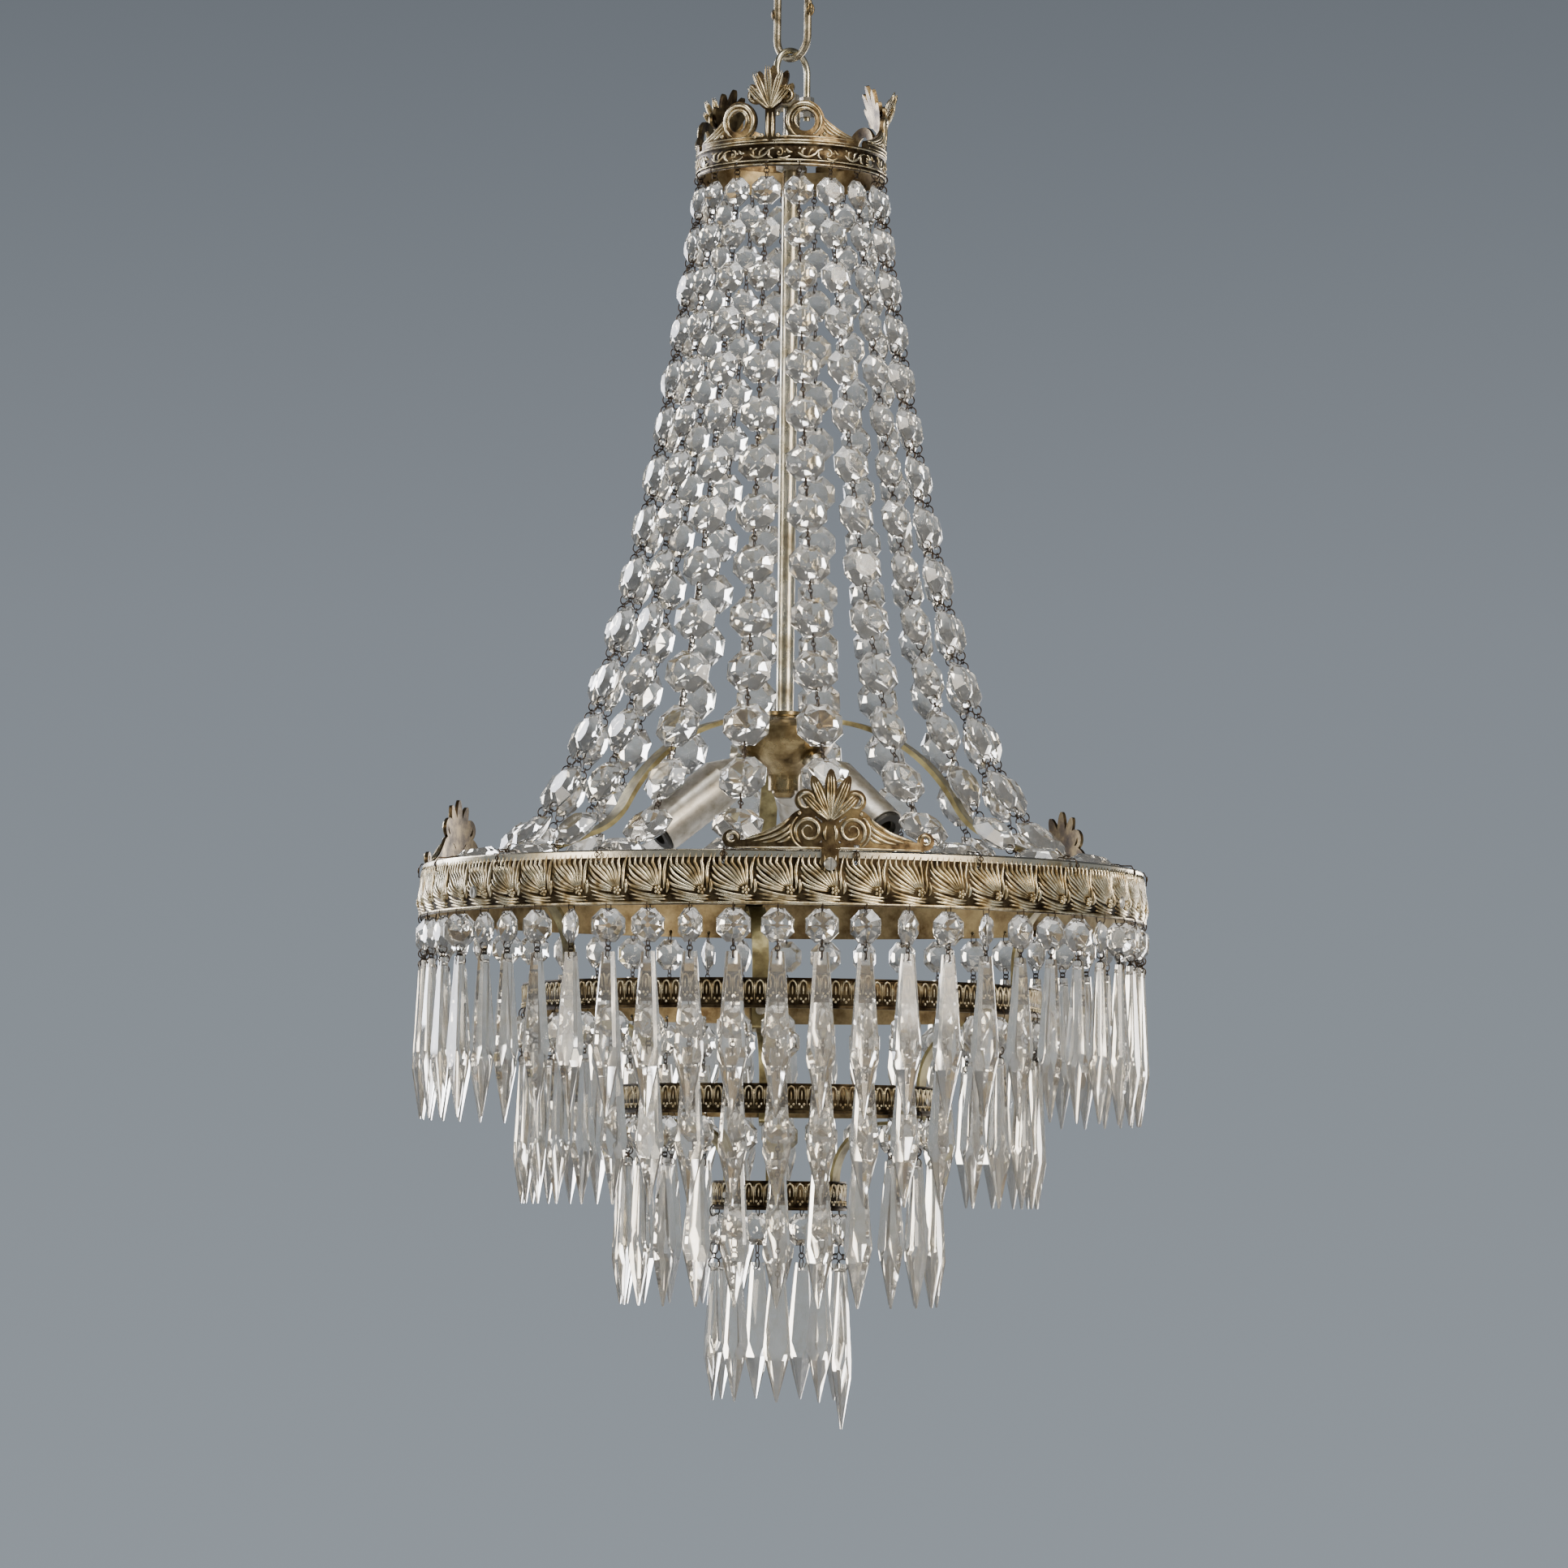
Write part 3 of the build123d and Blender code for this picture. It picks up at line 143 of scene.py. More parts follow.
cast_brass = tarnished("cast_brass_tarnished", "#b9b19b", "#8b8069", "#4b4334", 0.36)
bright_rod = tarnished("bright_brass_rod", "#cfc8b2", "#aaa287", "#6d634c", 0.26, patch=9.0, pits=0.12)
plated_steel = tarnished("plated_steel_hardware", "#c9c6bd", "#a9a498", "#6f685a", 0.32, patch=3.0)
dress(cast_brass, "chain_link_upper", "chain_link_lower")
dress(bright_rod, "hanging_bail")
dress(cast_brass, "bail_yoke")
dress(plated_steel, "top_nuts", "arm_screws", "ring_screws", "strap_rivets", "crown_rivets")

# ---------------------------------------------------------------- Crown
# A stamped brass band with three pierced galleries soldered on its top edge, silvered and worn: the ridges of
# the ornament are rubbed bright, and the ground between them is painted dark brown, partly patina and partly
# painted shade. Its inner wall is plain.
hang = -94.6
crown_top = hang - 58.0
crown_radius = 52.5
crown_height = 13.5


def outward(azimuth):
    """Unit vector away from the stem at an azimuth counted from the front towards the right."""
    return np.array([sin(radians(azimuth)), -cos(radians(azimuth)), 0.0])


def smooth_path(points, count):
    """Evenly spread points of a smooth curve through the given ones."""
    points = np.array(points, float)
    if len(points) == 2:
        return points[0] + (points[1] - points[0]) * np.linspace(0, 1, count)[:, None]
    ends = np.vstack([2 * points[0] - points[1], points, 2 * points[-1] - points[-2]])
    fine = []
    for p0, p1, p2, p3 in zip(ends, ends[1:], ends[2:], ends[3:]):
        for t in np.linspace(0, 1, 8, endpoint=False):
            square = 2 * p0 - 5 * p1 + 4 * p2 - p3
            cube = 3 * p1 - p0 - 3 * p2 + p3
            fine.append(0.5 * (2 * p1 + (p2 - p0) * t + square * t * t + cube * t**3))
    fine = np.array(fine + [points[-1]])
    run = np.concatenate([[0], np.cumsum(np.linalg.norm(np.diff(fine, axis=0), axis=1))])
    wanted = np.linspace(0, run[-1], count)
    return np.stack([np.interp(wanted, run, fine[:, k]) for k in range(fine.shape[1])], axis=1)


def ridge(points, width, depth, swell=0.5, count=9, sides=6):
    """Raised rib along a flat path: closed, pointed at both ends and widest at the share given by swell."""
    path = smooth_path(points, count)
    lean = np.gradient(path, axis=0)
    lean /= np.linalg.norm(lean, axis=1)[:, None]
    share = np.linspace(0, 1, count)
    girth = np.where(share < swell, share / swell, (1 - share) / (1 - swell))
    girth = np.sin(np.clip(girth, 0, 1) * pi / 2) ** 0.6
    verts, faces = [], []
    for i in range(1, count - 1):
        for k in range(sides):
            turn = 2 * pi * k / sides
            across = cos(turn) * width / 2 * girth[i]
            x, y = path[i, 0] - lean[i, 1] * across, path[i, 1] + lean[i, 0] * across
            verts.append((x, y, sin(turn) * depth * girth[i]))
    first, last = len(verts), len(verts) + 1
    verts += [(path[0, 0], path[0, 1], 0), (path[-1, 0], path[-1, 1], 0)]
    rings = count - 2
    for i in range(rings - 1):
        for k in range(sides):
            j = (k + 1) % sides
            faces.append((i * sides + k, (i + 1) * sides + k, (i + 1) * sides + j, i * sides + j))
    for k in range(sides):
        j = (k + 1) % sides
        faces.append((first, k, j))
        faces.append((last, (rings - 1) * sides + j, (rings - 1) * sides + k))
    return np.array(verts), faces


def knob(x, y, radius, depth):
    """Small round boss."""
    return ridge([(x - radius, y), (x + radius, y)], 2 * radius, depth, count=5)


def mirrored(strokes):
    """The strokes and their mirror images about x = 0."""
    turned = []
    for verts, faces in strokes:
        flip = verts * np.array([-1, 1, 1])
        turned.append((flip, [face[::-1] for face in faces]))
    return strokes + turned


def on_wall(azimuth, radius_at, height):
    """Maps a flat ornament (round, up, out) in mm on to a round wall."""

    def place(verts):
        z = height + verts[:, 1]
        wall = np.array([radius_at(h) for h in z])
        turn = np.radians(azimuth) + verts[:, 0] / wall
        r = wall + verts[:, 2]
        return np.stack([r * np.sin(turn), -r * np.cos(turn), z], axis=1)

    return place


def put_together(name, parts, material, body="chandelier", smooth=True):
    """One piece from (vertices in mm, faces) lists, at its place in the frame."""
    verts, faces, start = [], [], 0
    for points, polygons in parts:
        verts.append(points)
        faces += [tuple(v + start for v in polygon) for polygon in polygons]
        start += len(points)
    mesh = bpy.data.meshes.new(name)
    mesh.from_pydata((np.vstack(verts) * mm).tolist(), [], faces)
    if smooth:
        mesh.shade_smooth()
    mesh.materials.append(material)
    piece = bpy.data.objects.new(name, mesh)
    bpy.context.collection.objects.link(piece)
    bpy.ops.object.select_all(action="DESELECT")
    bpy.context.view_layer.objects.active = piece
    piece.select_set(True)
    bpy.ops.object.mode_set(mode="EDIT")
    bpy.ops.mesh.select_all(action="SELECT")
    bpy.ops.mesh.normals_make_consistent(inside=False)
    bpy.ops.object.mode_set(mode="OBJECT")
    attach(piece, body)
    return piece


def repeated(strokes, azimuths, radius_at, height):
    """The strokes of an ornament, laid on a wall at each azimuth."""
    parts = []
    for azimuth in azimuths:
        place = on_wall(azimuth, radius_at, height)
        parts += [(place(verts), faces) for verts, faces in strokes]
    return parts


def arc(x, y, radius, start, end, shrink=1.0, count=9):
    """Points of an arc or spiral in degrees, whose radius ends at a share of where it starts."""
    turns = np.radians(np.linspace(start, end, count))
    radii = radius * np.linspace(1, shrink, count)
    return [(x + r * cos(t), y + r * sin(t)) for r, t in zip(radii, turns)]


def walled(name, outside, inside, wall_radius, **tones):
    """Tarnished stamping with painted shade in its outside tones, whose inner wall is plain and another
    colour, split at a radius in mm.
    """
    material = tarnished(name, *outside, **tones)
    tree = material.node_tree
    shader = tree.nodes["Principled BSDF"]
    place = add_node(tree, "ShaderNodeTexCoord")
    flat = add_node(tree, "ShaderNodeVectorMath", {"operation": "MULTIPLY"})
    flat.inputs[1].default_value = (1, 1, 0)
    tree.links.new(place.outputs["Object"], flat.inputs[0])
    reach = add_node(tree, "ShaderNodeVectorMath", {"operation": "LENGTH"})
    tree.links.new(flat.outputs["Vector"], reach.inputs[0])
    is_outside = add_node(tree, "ShaderNodeMath", {"operation": "GREATER_THAN"})
    is_outside.inputs[1].default_value = wall_radius * mm
    tree.links.new(reach.outputs["Value"], is_outside.inputs[0])
    cloud = add_node(
        tree,
        "ShaderNodeTexNoise",
        {"Scale": 1 / (22 * mm), "Detail": 5.0, "Roughness": 0.7},
        {"Vector": (place, "Object")},
    )
    plain = add_node(tree, "ShaderNodeValToRGB", links={"Fac": (cloud, "Fac")})
    plain.color_ramp.elements[0].position = 0.36
    plain.color_ramp.elements[0].color = linear(inside[1])
    plain.color_ramp.elements[1].position = 0.62
    plain.color_ramp.elements[1].color = linear(inside[0])
    spotted = shader.inputs["Base Color"].links[0].from_node
    blend = add_node(tree, "ShaderNodeMix", {"data_type": "RGBA"})
    tree.links.new(is_outside.outputs["Value"], blend.inputs["Factor"])
    tree.links.new(plain.outputs["Color"], blend.inputs[6])
    tree.links.new(spotted.outputs["Color"], blend.inputs[7])
    tree.links.new(blend.outputs[2], shader.inputs["Base Color"])
    return material


silvered = ("#d8cbab", "#9a8762", "#493a28")
# The ground tones are dark brown: partly patina, partly painted shade in the recesses between the raised
# ridges.
ground_patina_and_shade = ("#544834", "#30261a", "#130e09")
inner_brown = ("#a99873", "#614f36")
rubbed = tarnished("silvered_brass_rubbed", *silvered, 0.27, patch=7.0, pits=0.18, dark_share=0.36)
crown_wall = walled("crown_band_stamping", ground_patina_and_shade + (0.42,), inner_brown, crown_radius - 0.9)
# The gallery castings are painted darker than the ridges laid on them: partly patina, partly painted shade in
# the hollows.
gallery_ground = tarnished("crown_gallery_casting", "#7c6b4b", "#4e402d", "#241b12", 0.34, patch=8.0)
dress(crown_wall, "crown_band")
dress(gallery_ground, "crown_gallery_1", "crown_gallery_2", "crown_gallery_3")
dress(plated_steel, "crown_spider")

vine = [
    ridge([(-13, 1.0), (-8, -2.2), (-3, -1.0), (0, 2.2), (4, 2.6)], 1.5, 0.75, 0.4),
    ridge(arc(5.2, 0.2, 2.6, 110, -200, 0.35), 1.2, 0.75, 0.3),
    ridge([(-9, -1.8), (-9.5, 1.5), (-7, 2.8)], 1.4, 0.7, 0.5),
    ridge([(-6, -2.0), (-5.2, 1.2), (-2.5, 3.0)], 1.3, 0.7, 0.5),
    ridge([(0, 2.0), (-0.5, -1.4), (2.0, -3.2)], 1.4, 0.7, 0.5),
    ridge([(4, -2.4), (8, -3.2), (12, -1.2)], 1.5, 0.7, 0.4),
    ridge([(9, 2.6), (10.5, 0.6), (13, 0.4)], 1.6, 0.75, 0.5),
    knob(5.0, 0.2, 0.9, 0.9),
    knob(-11, 2.6, 0.8, 0.8),
    knob(8.4, 0.4, 0.7, 0.8),
]
vine_azimuths = [-13 + 30 * i for i in range(12)]
vine_height = crown_top - crown_height / 2 + 0.2
band_vines = repeated(vine, vine_azimuths, lambda z: crown_radius + 0.1, vine_height)
for rail_at in (-12.6, -10.4, -1.0):
    rail = ridge([(-30, 0), (30, 0)], 1.1, 0.5, count=20)
    band_vines += repeated([rail], [55 * i for i in range(7)], lambda z: crown_radius, crown_top + rail_at)
put_together("crown_band_vines", band_vines, rubbed)

gallery_azimuths = (-13, 107, 227)
scroll_at = radians(21.0) * crown_radius
curl_at = radians(9.2) * crown_radius
leaf_at = radians(43.0) * crown_radius
half_gallery = [
    ridge(arc(scroll_at, 11.6, 9.7, 250, -70, 0.93, 14), 3.0, 1.5, 0.5, 16),
    ridge(arc(scroll_at, 11.6, 7.2, 200, -40, 0.9, 12), 1.5, 1.3, 0.4, 12),
    ridge(arc(scroll_at, 11.6, 6.4, 70, 250, 0.8, 10), 1.3, 1.2, 0.5, 10),
    ridge(arc(curl_at, 25.5, 3.7, -100, 230, 0.75, 12), 1.9, 1.2, 0.4, 12),
    ridge(
        [(leaf_at - 10.5, 13.6), (leaf_at - 5, 8.6), (leaf_at + 3, 5.0), (leaf_at + 11, 3.6)], 1.6, 1.2, 0.4
    ),
    ridge(
        [(leaf_at - 10.3, 11.0), (leaf_at - 5, 6.6), (leaf_at + 1, 4.2), (leaf_at + 7, 3.4)], 1.6, 1.2, 0.4
    ),
    ridge([(leaf_at - 10.3, 8.2), (leaf_at - 6, 5.0), (leaf_at - 1, 3.6)], 1.5, 1.1, 0.4),
    knob(leaf_at - 9.0, 4.6, 1.3, 1.3),
    ridge([(1.4, 1.5), (1.5, 9), (1.2, 17)], 1.9, 1.1, 0.4),
    ridge([(0, 0.5), (24, 0.5), (49, 0.5)], 1.4, 0.8, 0.1, 22),
    ridge([(3, 2.6), (24, 2.6), (50, 2.6)], 1.0, 0.7, 0.1, 22),
    knob(4.6, 3.2, 1.5, 1.4),
    knob(8.6, 2.4, 1.2, 1.2),
]
gallery_parts = repeated(mirrored(half_gallery), gallery_azimuths, lambda z: crown_radius, crown_top)
petals = []
for lean, length in ((0, 27.0), (-19, 24.8), (19, 24.8), (-38, 19.4), (38, 19.4)):
    tip = (length * sin(radians(lean)), length * cos(radians(lean)))
    side = (cos(radians(lean)) * 1.45, -sin(radians(lean)) * 1.45)
    for way in (-1, 0, 1):
        petals.append(
            ridge(
                [
                    (way * 0.3, 1.0),
                    (tip[0] * 0.6 + way * side[0], tip[1] * 0.6 + way * side[1]),
                    (tip[0] * 0.95 + way * side[0] * 0.7, tip[1] * 0.95 + way * side[1] * 0.7),
                ],
                1.5 if way else 1.0,
                1.2 if way else 0.6,
                0.62,
            )
        )
flare = radians(17.0)
for azimuth in gallery_azimuths:
    out, round_it, up = outward(azimuth), outward(azimuth + 90), np.array([0, 0, 1.0])
    rise = up * cos(flare) + out * sin(flare)
    face = out * cos(flare) - up * sin(flare)
    root = out * (crown_radius - 1.9) + up * (crown_top + 17.0) + face * 2.2
    for verts, faces in petals:
        gallery_parts.append((root + verts @ np.array([round_it, rise, face]), faces))
put_together("crown_gallery_relief", gallery_parts, rubbed)

# ---------------------------------------------------------------- Link buds
# A small leaf bud is cast round the thorn on each long side of the lower link.
link_middle = hang + 23.8
link_azimuth = 45
bud = [
    ridge([(0, -5.2), (0, 0), (0, 5.2)], 1.9, 1.9, 0.7),
    ridge([(-0.6, -4.4), (-2.0, -0.6), (-1.2, 3.6)], 1.5, 1.6, 0.6),
    ridge([(0.6, -4.4), (2.0, -0.6), (1.2, 3.6)], 1.5, 1.6, 0.6),
    knob(0, 0.4, 1.4, 2.4),
]
buds = repeated(bud, (link_azimuth, link_azimuth + 180), lambda z: 13.4, link_middle)
put_together("chain_link_buds", buds, gallery_ground, body="link_mid")

# ---------------------------------------------------------------- Stem and hub
# A bright tube down the middle carries a spun brass hub in two halves, dull with age, with a turned neck and
# an end nut. Three flat brass arms are screwed into slots in its cap.
stem_metal = tarnished("stem_tube_brass", "#d8d2c2", "#b4ab93", "#7a6e57", 0.24, patch=16.0, pits=0.08)
spun_brass = tarnished("spun_brass_dull", "#a8966f", "#7c6a49", "#453722", 0.27, patch=14.0, pits=0.07)
flat_bar = tarnished("flat_bar_brass", "#a2986f", "#7a7050", "#463e2b", 0.33, patch=14.0, pits=0.15)
dress(stem_metal, "stem_tube")
dress(spun_brass, "hub_cap", "hub_bowl", "hub_nut")
dress(flat_bar, "arm_1", "arm_2", "arm_3", "strap_1", "strap_2", "strap_3")

# ---------------------------------------------------------------- Lampholders
# Satin aluminium sleeves over black thermoplastic holders, each with a thin plated screw shell and a centre
# contact. The sleeves are brushed round, which draws their highlights out along them.
brushed, tree, shader = new_material("aluminium_sleeve_satin", Metallic=1.0)
place = add_node(tree, "ShaderNodeTexCoord")
smudge = add_node(
    tree,
    "ShaderNodeTexNoise",
    {"Scale": 1 / (8 * mm), "Detail": 4.0, "Roughness": 0.6},
    {"Vector": (place, "Object")},
)
tone = add_node(tree, "ShaderNodeValToRGB", links={"Fac": (smudge, "Fac")})
tone.color_ramp.elements[0].position, tone.color_ramp.elements[0].color = 0.34, linear("#a49c8c")
tone.color_ramp.elements[1].position, tone.color_ramp.elements[1].color = 0.62, linear("#d3cec4")
tree.links.new(tone.outputs["Color"], shader.inputs["Base Color"])
haze = add_node(tree, "ShaderNodeMapRange", {"To Min": 0.42, "To Max": 0.26}, {"Value": (smudge, "Fac")})
tree.links.new(haze.outputs["Result"], shader.inputs["Roughness"])
dress(brushed, "lampholder_sleeve_1", "lampholder_sleeve_2", "lampholder_sleeve_3")

moulded, tree, shader = new_material("thermoplastic_moulded", Roughness=0.46)
place = add_node(tree, "ShaderNodeTexCoord")
grain = add_node(
    tree, "ShaderNodeTexNoise", {"Scale": 1 / (0.6 * mm), "Detail": 3.0}, {"Vector": (place, "Object")}
)
tone = add_node(tree, "ShaderNodeValToRGB", links={"Fac": (grain, "Fac")})
tone.color_ramp.elements[0].color = linear("#17150f")
tone.color_ramp.elements[1].color = linear("#2b2822")
tree.links.new(tone.outputs["Color"], shader.inputs["Base Color"])
bump = add_node(tree, "ShaderNodeBump", {"Strength": 0.3, "Distance": 0.1 * mm}, {"Height": (grain, "Fac")})
tree.links.new(bump.outputs["Normal"], shader.inputs["Normal"])
dress(moulded, "lampholder_bodies", "terminal_block", "internal_leads")
dress(stem_metal, "lampholder_shells", "lampholder_contacts", "lampholder_nipples")

# ---------------------------------------------------------------- Main ring
# A rolled brass hoop stamped with a row of acanthus leaves, one above each hanging drop, with a small flower
# at the root of each. A plain bright rim runs along its top and a thin bead along its foot.
rim_top = hang - 455.0
ring_foot = rim_top - 29.0
fringe_azimuth = -0.7
leaf_count = 54


def ring_wall(z):
    """Outer radius of the main ring at a height."""
    low, high = ring_foot + 2.4, rim_top - 11.5
    if z >= high:
        return 198.4
    share = min(max((z - low) / (high - low), 0), 1)
    return 198.6 + (0.2 - 0.4 * share) + 1.25 * 4 * share * (1 - share)


leaf_root, leaf_tips = (6.4, 7.6), (-10.4, -7.2, -4.0, -0.8, 2.6, 6.2)
leaf_veins = []
for i, tip in enumerate(leaf_tips):
    x, y = leaf_root[0] + 0.5 * i - 1.6, leaf_root[1] + 1.2
    bend = (x + (tip - x) * 0.62, y + 7.4 + 0.7 * i)
    leaf_veins.append([(x, y), bend, (tip - 0.3, 21.5), (tip + 0.6, 27.0)])
leaf_veins += [
    [(4.6, 8.2), (-3.4, 12.2), (-9.2, 16.6), (-12.0, 21.4)],
    [(4.2, 7.6), (-3.6, 10.2), (-9.0, 13.2), (-12.4, 17.0)],
    [(3.8, 7.0), (-3.0, 8.4), (-9.0, 10.2), (-12.6, 13.0)],
    [(9.2, 7.0), (9.6, 12.0), (9.0, 17.0), (9.8, 22.0), (11.2, 26.6)],
    [(10.6, 5.6), (11.6, 9.0), (11.0, 14.0)],
    [(-11.6, 8.8), (-6.0, 6.8), (0.4, 5.0), (6.0, 4.4), (11.6, 4.6)],
    [(-11.0, 6.0), (-5.0, 4.8), (1.4, 3.4), (11.4, 2.6)],
    [(-9.4, 3.4), (-3.0, 2.8), (4.0, 1.6), (10.2, 1.0)],
]
leaf = [ridge(vein, 2.1, 1.5, 0.55, 9) for vein in leaf_veins]
for t in np.linspace(0, 2 * pi, 6)[:-1]:
    leaf.append(knob(leaf_root[0] + 1.6 * cos(t), leaf_root[1] + 1.6 * sin(t), 1.05, 1.9))
leaf.append(knob(*leaf_root, 0.9, 2.2))
leaf_azimuths = [fringe_azimuth + 360 * i / leaf_count for i in range(leaf_count)]
leaf_parts = repeated(leaf, leaf_azimuths, ring_wall, ring_foot)
tab_rib = ridge([(3.4, 17.2), (2.3, 20.5), (2.6, 23.2), (3.3, 26.4)], 1.5, 0.9, 0.5)
tab_azimuths = (7, 127, 247)
leaf_parts += repeated(mirrored([tab_rib]), tab_azimuths, lambda z: 200.5, ring_foot)
foot_bead = ridge([(-62, 1.0), (62, 1.0)], 1.9, 0.8, 0.5, 30)
leaf_parts += repeated([foot_bead], [30 * i for i in range(12)], lambda z: 199.5, ring_foot)
put_together("main_ring_leaves", leaf_parts, rubbed)
# The band under the leaves is painted dark brown: partly patina, partly painted shade between the raised
# leaves.
ring_ground = walled("main_ring_stamping", ground_patina_and_shade + (0.42,), inner_brown, 197.6, patch=9.0)
rim_metal = tarnished(
    "ring_rim_rubbed", "#dbd0b8", "#b5a88a", "#72644b", 0.22, patch=18.0, pits=0.08, dark_share=0.3
)
dress(ring_ground, "main_band")
dress(rim_metal, "main_rim")

# ---------------------------------------------------------------- Crests
# Three cast crests stand on the ring. Each has a palmette between two spiral volutes and acanthus leaves that
# run out to a curl at either end.
crest_face = 198.5 + 2.0
crest_azimuths = (7, 127, 247)
half_crest = [
    ridge(arc(11.3, 9.6, 7.6, -60, 560, 0.2, 26), 2.3, 1.5, 0.15, 30),
    ridge(arc(11.6, 9.4, 9.2, 60, -80, 1.0, 12), 1.8, 1.2, 0.4, 12),
    ridge([(20.5, 16.8), (25, 12.8), (33, 8.4), (46, 4.6)], 2.4, 1.5, 0.3, 12),
    ridge([(19.8, 13.6), (24, 9.8), (31, 6.4), (41, 3.8)], 2.2, 1.4, 0.3, 12),
    ridge([(20.0, 10.0), (23.4, 7.4), (29, 4.6), (36, 3.2)], 2.0, 1.3, 0.3, 12),
    ridge([(20.4, 6.8), (23, 4.8), (28, 3.2)], 1.8, 1.2, 0.3),
    ridge(arc(51.2, 5.6, 3.4, 200, -160, 0.5, 14), 1.9, 1.4, 0.3, 14),
    ridge(arc(12.9, 25.2, 4.4, 200, -140, 0.8, 14), 2.0, 1.4, 0.4, 14),
    ridge([(2, 0.6), (25, 0.6), (52, 0.6)], 1.3, 0.9, 0.1, 14),
    ridge([(2.2, 4.0), (3.2, 8.4), (1.8, 13.0)], 2.0, 1.3, 0.5),
    knob(16.2, 18.6, 1.4, 1.4),
    knob(6.0, 19.4, 1.5, 1.5),
]
crest_petals = []
for lean, length in ((0, 27.5), (-22, 25.8), (22, 25.8), (-44, 21.4), (44, 21.4)):
    tip = (length * sin(radians(lean)), length * cos(radians(lean)))
    side = (cos(radians(lean)) * 1.5, -sin(radians(lean)) * 1.5)
    for way in (-1, 0, 1):
        crest_petals.append(
            ridge(
                [
                    (way * 0.4, 14.6),
                    (tip[0] * 0.55 + way * side[0], 14 + tip[1] * 0.55 + way * side[1]),
                    (tip[0] * 0.93 + way * side[0] * 0.8, 14 + tip[1] * 0.93 + way * side[1] * 0.8),
                ],
                1.7 if way else 1.1,
                1.5 if way else 0.7,
                0.6,
            )
        )
crest_parts = repeated(mirrored(half_crest) + crest_petals, crest_azimuths, lambda z: crest_face, rim_top)
put_together("crest_relief", crest_parts, rubbed)
# The crest castings take the same darker tones: partly patina, partly painted shade under their ridges.
dress(gallery_ground, "crest_1", "crest_2", "crest_3")

# ---------------------------------------------------------------- Lower tiers
# Three stamped hoops, each smaller than the one above it: a row of narrow arches over a row of small flowers,
# with a thin bright bead along the foot.
tiers = ((143.0, hang - 519.5, 156), (88.0, hang - 574.0, 96), (37.0, hang - 626.0, 40))
tier_height = 16.0
for number, (radius, top, arches) in enumerate(tiers, start=2):
    pitch = 2 * pi * radius / arches
    arch = [
        ridge(
            [(-1.9, -9.6), (-2.0, -5.0), (-1.4, -2.4), (0, -1.5), (1.4, -2.4), (2.0, -5.0), (1.9, -9.6)],
            1.0, 0.75, 0.5, 13,
        ),
        ridge([(0, -9.4), (0, -6.0), (0, -3.6)], 0.9, 0.6, 0.4, 5),
        knob(-1.3, -11.2, 0.8, 0.8),
        knob(1.3, -11.2, 0.8, 0.8),
        knob(0, -12.6, 0.85, 0.8),
    ]
    between = [ridge([(pitch / 2, -2.0), (pitch / 2, -6.0), (pitch / 2, -12.6)], 0.8, 0.6, 0.3, 6)]
    wall = [radius - 0.5]
    parts = repeated(arch + between, [360 * i / arches for i in range(arches)], lambda z: wall[0], top)
    put_together(f"tier_{number}_arcade", parts, rubbed)
    # The band under the arches is painted dark brown: partly patina, partly painted shade between the raised
    # arches.
    tier_wall = walled(f"tier_{number}_stamping", ground_patina_and_shade + (0.42,), inner_brown, radius - 1.6)
    dress(tier_wall, f"tier_{number}_band")

# ---------------------------------------------------------------- Crystals
# Lead crystal, pressed and polished: octagon beads with a flat table before and a star of facets behind, and
# long spears. Old crystal is a little milky and dusty, so light also stays in it.
def crystal_glass(name, clear, haze):
    """Lead crystal: clear is the share of light that goes through it, haze its greatest roughness."""
    glass, tree, shader = new_material(name, IOR=1.55)
    shader.inputs["Transmission Weight"].default_value = clear
    place = add_node(tree, "ShaderNodeTexCoord")
    dust = add_node(
        tree,
        "ShaderNodeTexNoise",
        {"Scale": 1 / (6 * mm), "Detail": 4.0, "Roughness": 0.6},
        {"Vector": (place, "Object")},
    )
    tint = add_node(tree, "ShaderNodeValToRGB", links={"Fac": (dust, "Fac")})
    tint.color_ramp.elements[0].position, tint.color_ramp.elements[0].color = 0.3, linear("#ede6d8")
    tint.color_ramp.elements[1].position, tint.color_ramp.elements[1].color = 0.6, linear("#fbf9f4")
    tree.links.new(tint.outputs["Color"], shader.inputs["Base Color"])
    film = add_node(tree, "ShaderNodeMapRange", {"To Min": haze, "To Max": 0.0}, {"Value": (dust, "Fac")})
    tree.links.new(film.outputs["Result"], shader.inputs["Roughness"])
    return glass


bead_crystal = crystal_glass("lead_crystal_polished", 0.95, 0.05)
spear_crystal = crystal_glass("lead_crystal_pressed", 0.91, 0.07)


def octagon_bead(width):
    """Octagon bead in mm: x across, y up and z out of its face, with a table before and a star behind."""
    girdle, rise = 0.4, 0.185 * width
    front = [(0.27, girdle + rise), (0.5, girdle)]
    rings = front + [(0.5, -girdle), (0.36, -girdle - 0.6 * rise), (0.07, -girdle - rise)]
    verts, faces = [], []
    for row, (share, height) in enumerate(rings):
        start = 0 if row == 3 else pi / 8
        radius = share * width / (1 if row == 3 else cos(pi / 8))
        turns = [start + pi / 4 * i for i in range(8)]
        verts += [(radius * cos(turn), radius * sin(turn), height) for turn in turns]
    faces.append(tuple(range(8)))
    faces.append(tuple(range(39, 31, -1)))
    for i in range(8):
        j = (i + 1) % 8
        faces += [(i, 8 + i, 8 + j, j), (8 + i, 16 + i, 16 + j, 8 + j)]
        faces += [(16 + i, 24 + j, 16 + j), (16 + i, 24 + i, 24 + j)]
        faces += [(24 + i, 32 + i, 24 + j), (32 + i, 32 + j, 24 + j)]
    return np.array(verts), faces


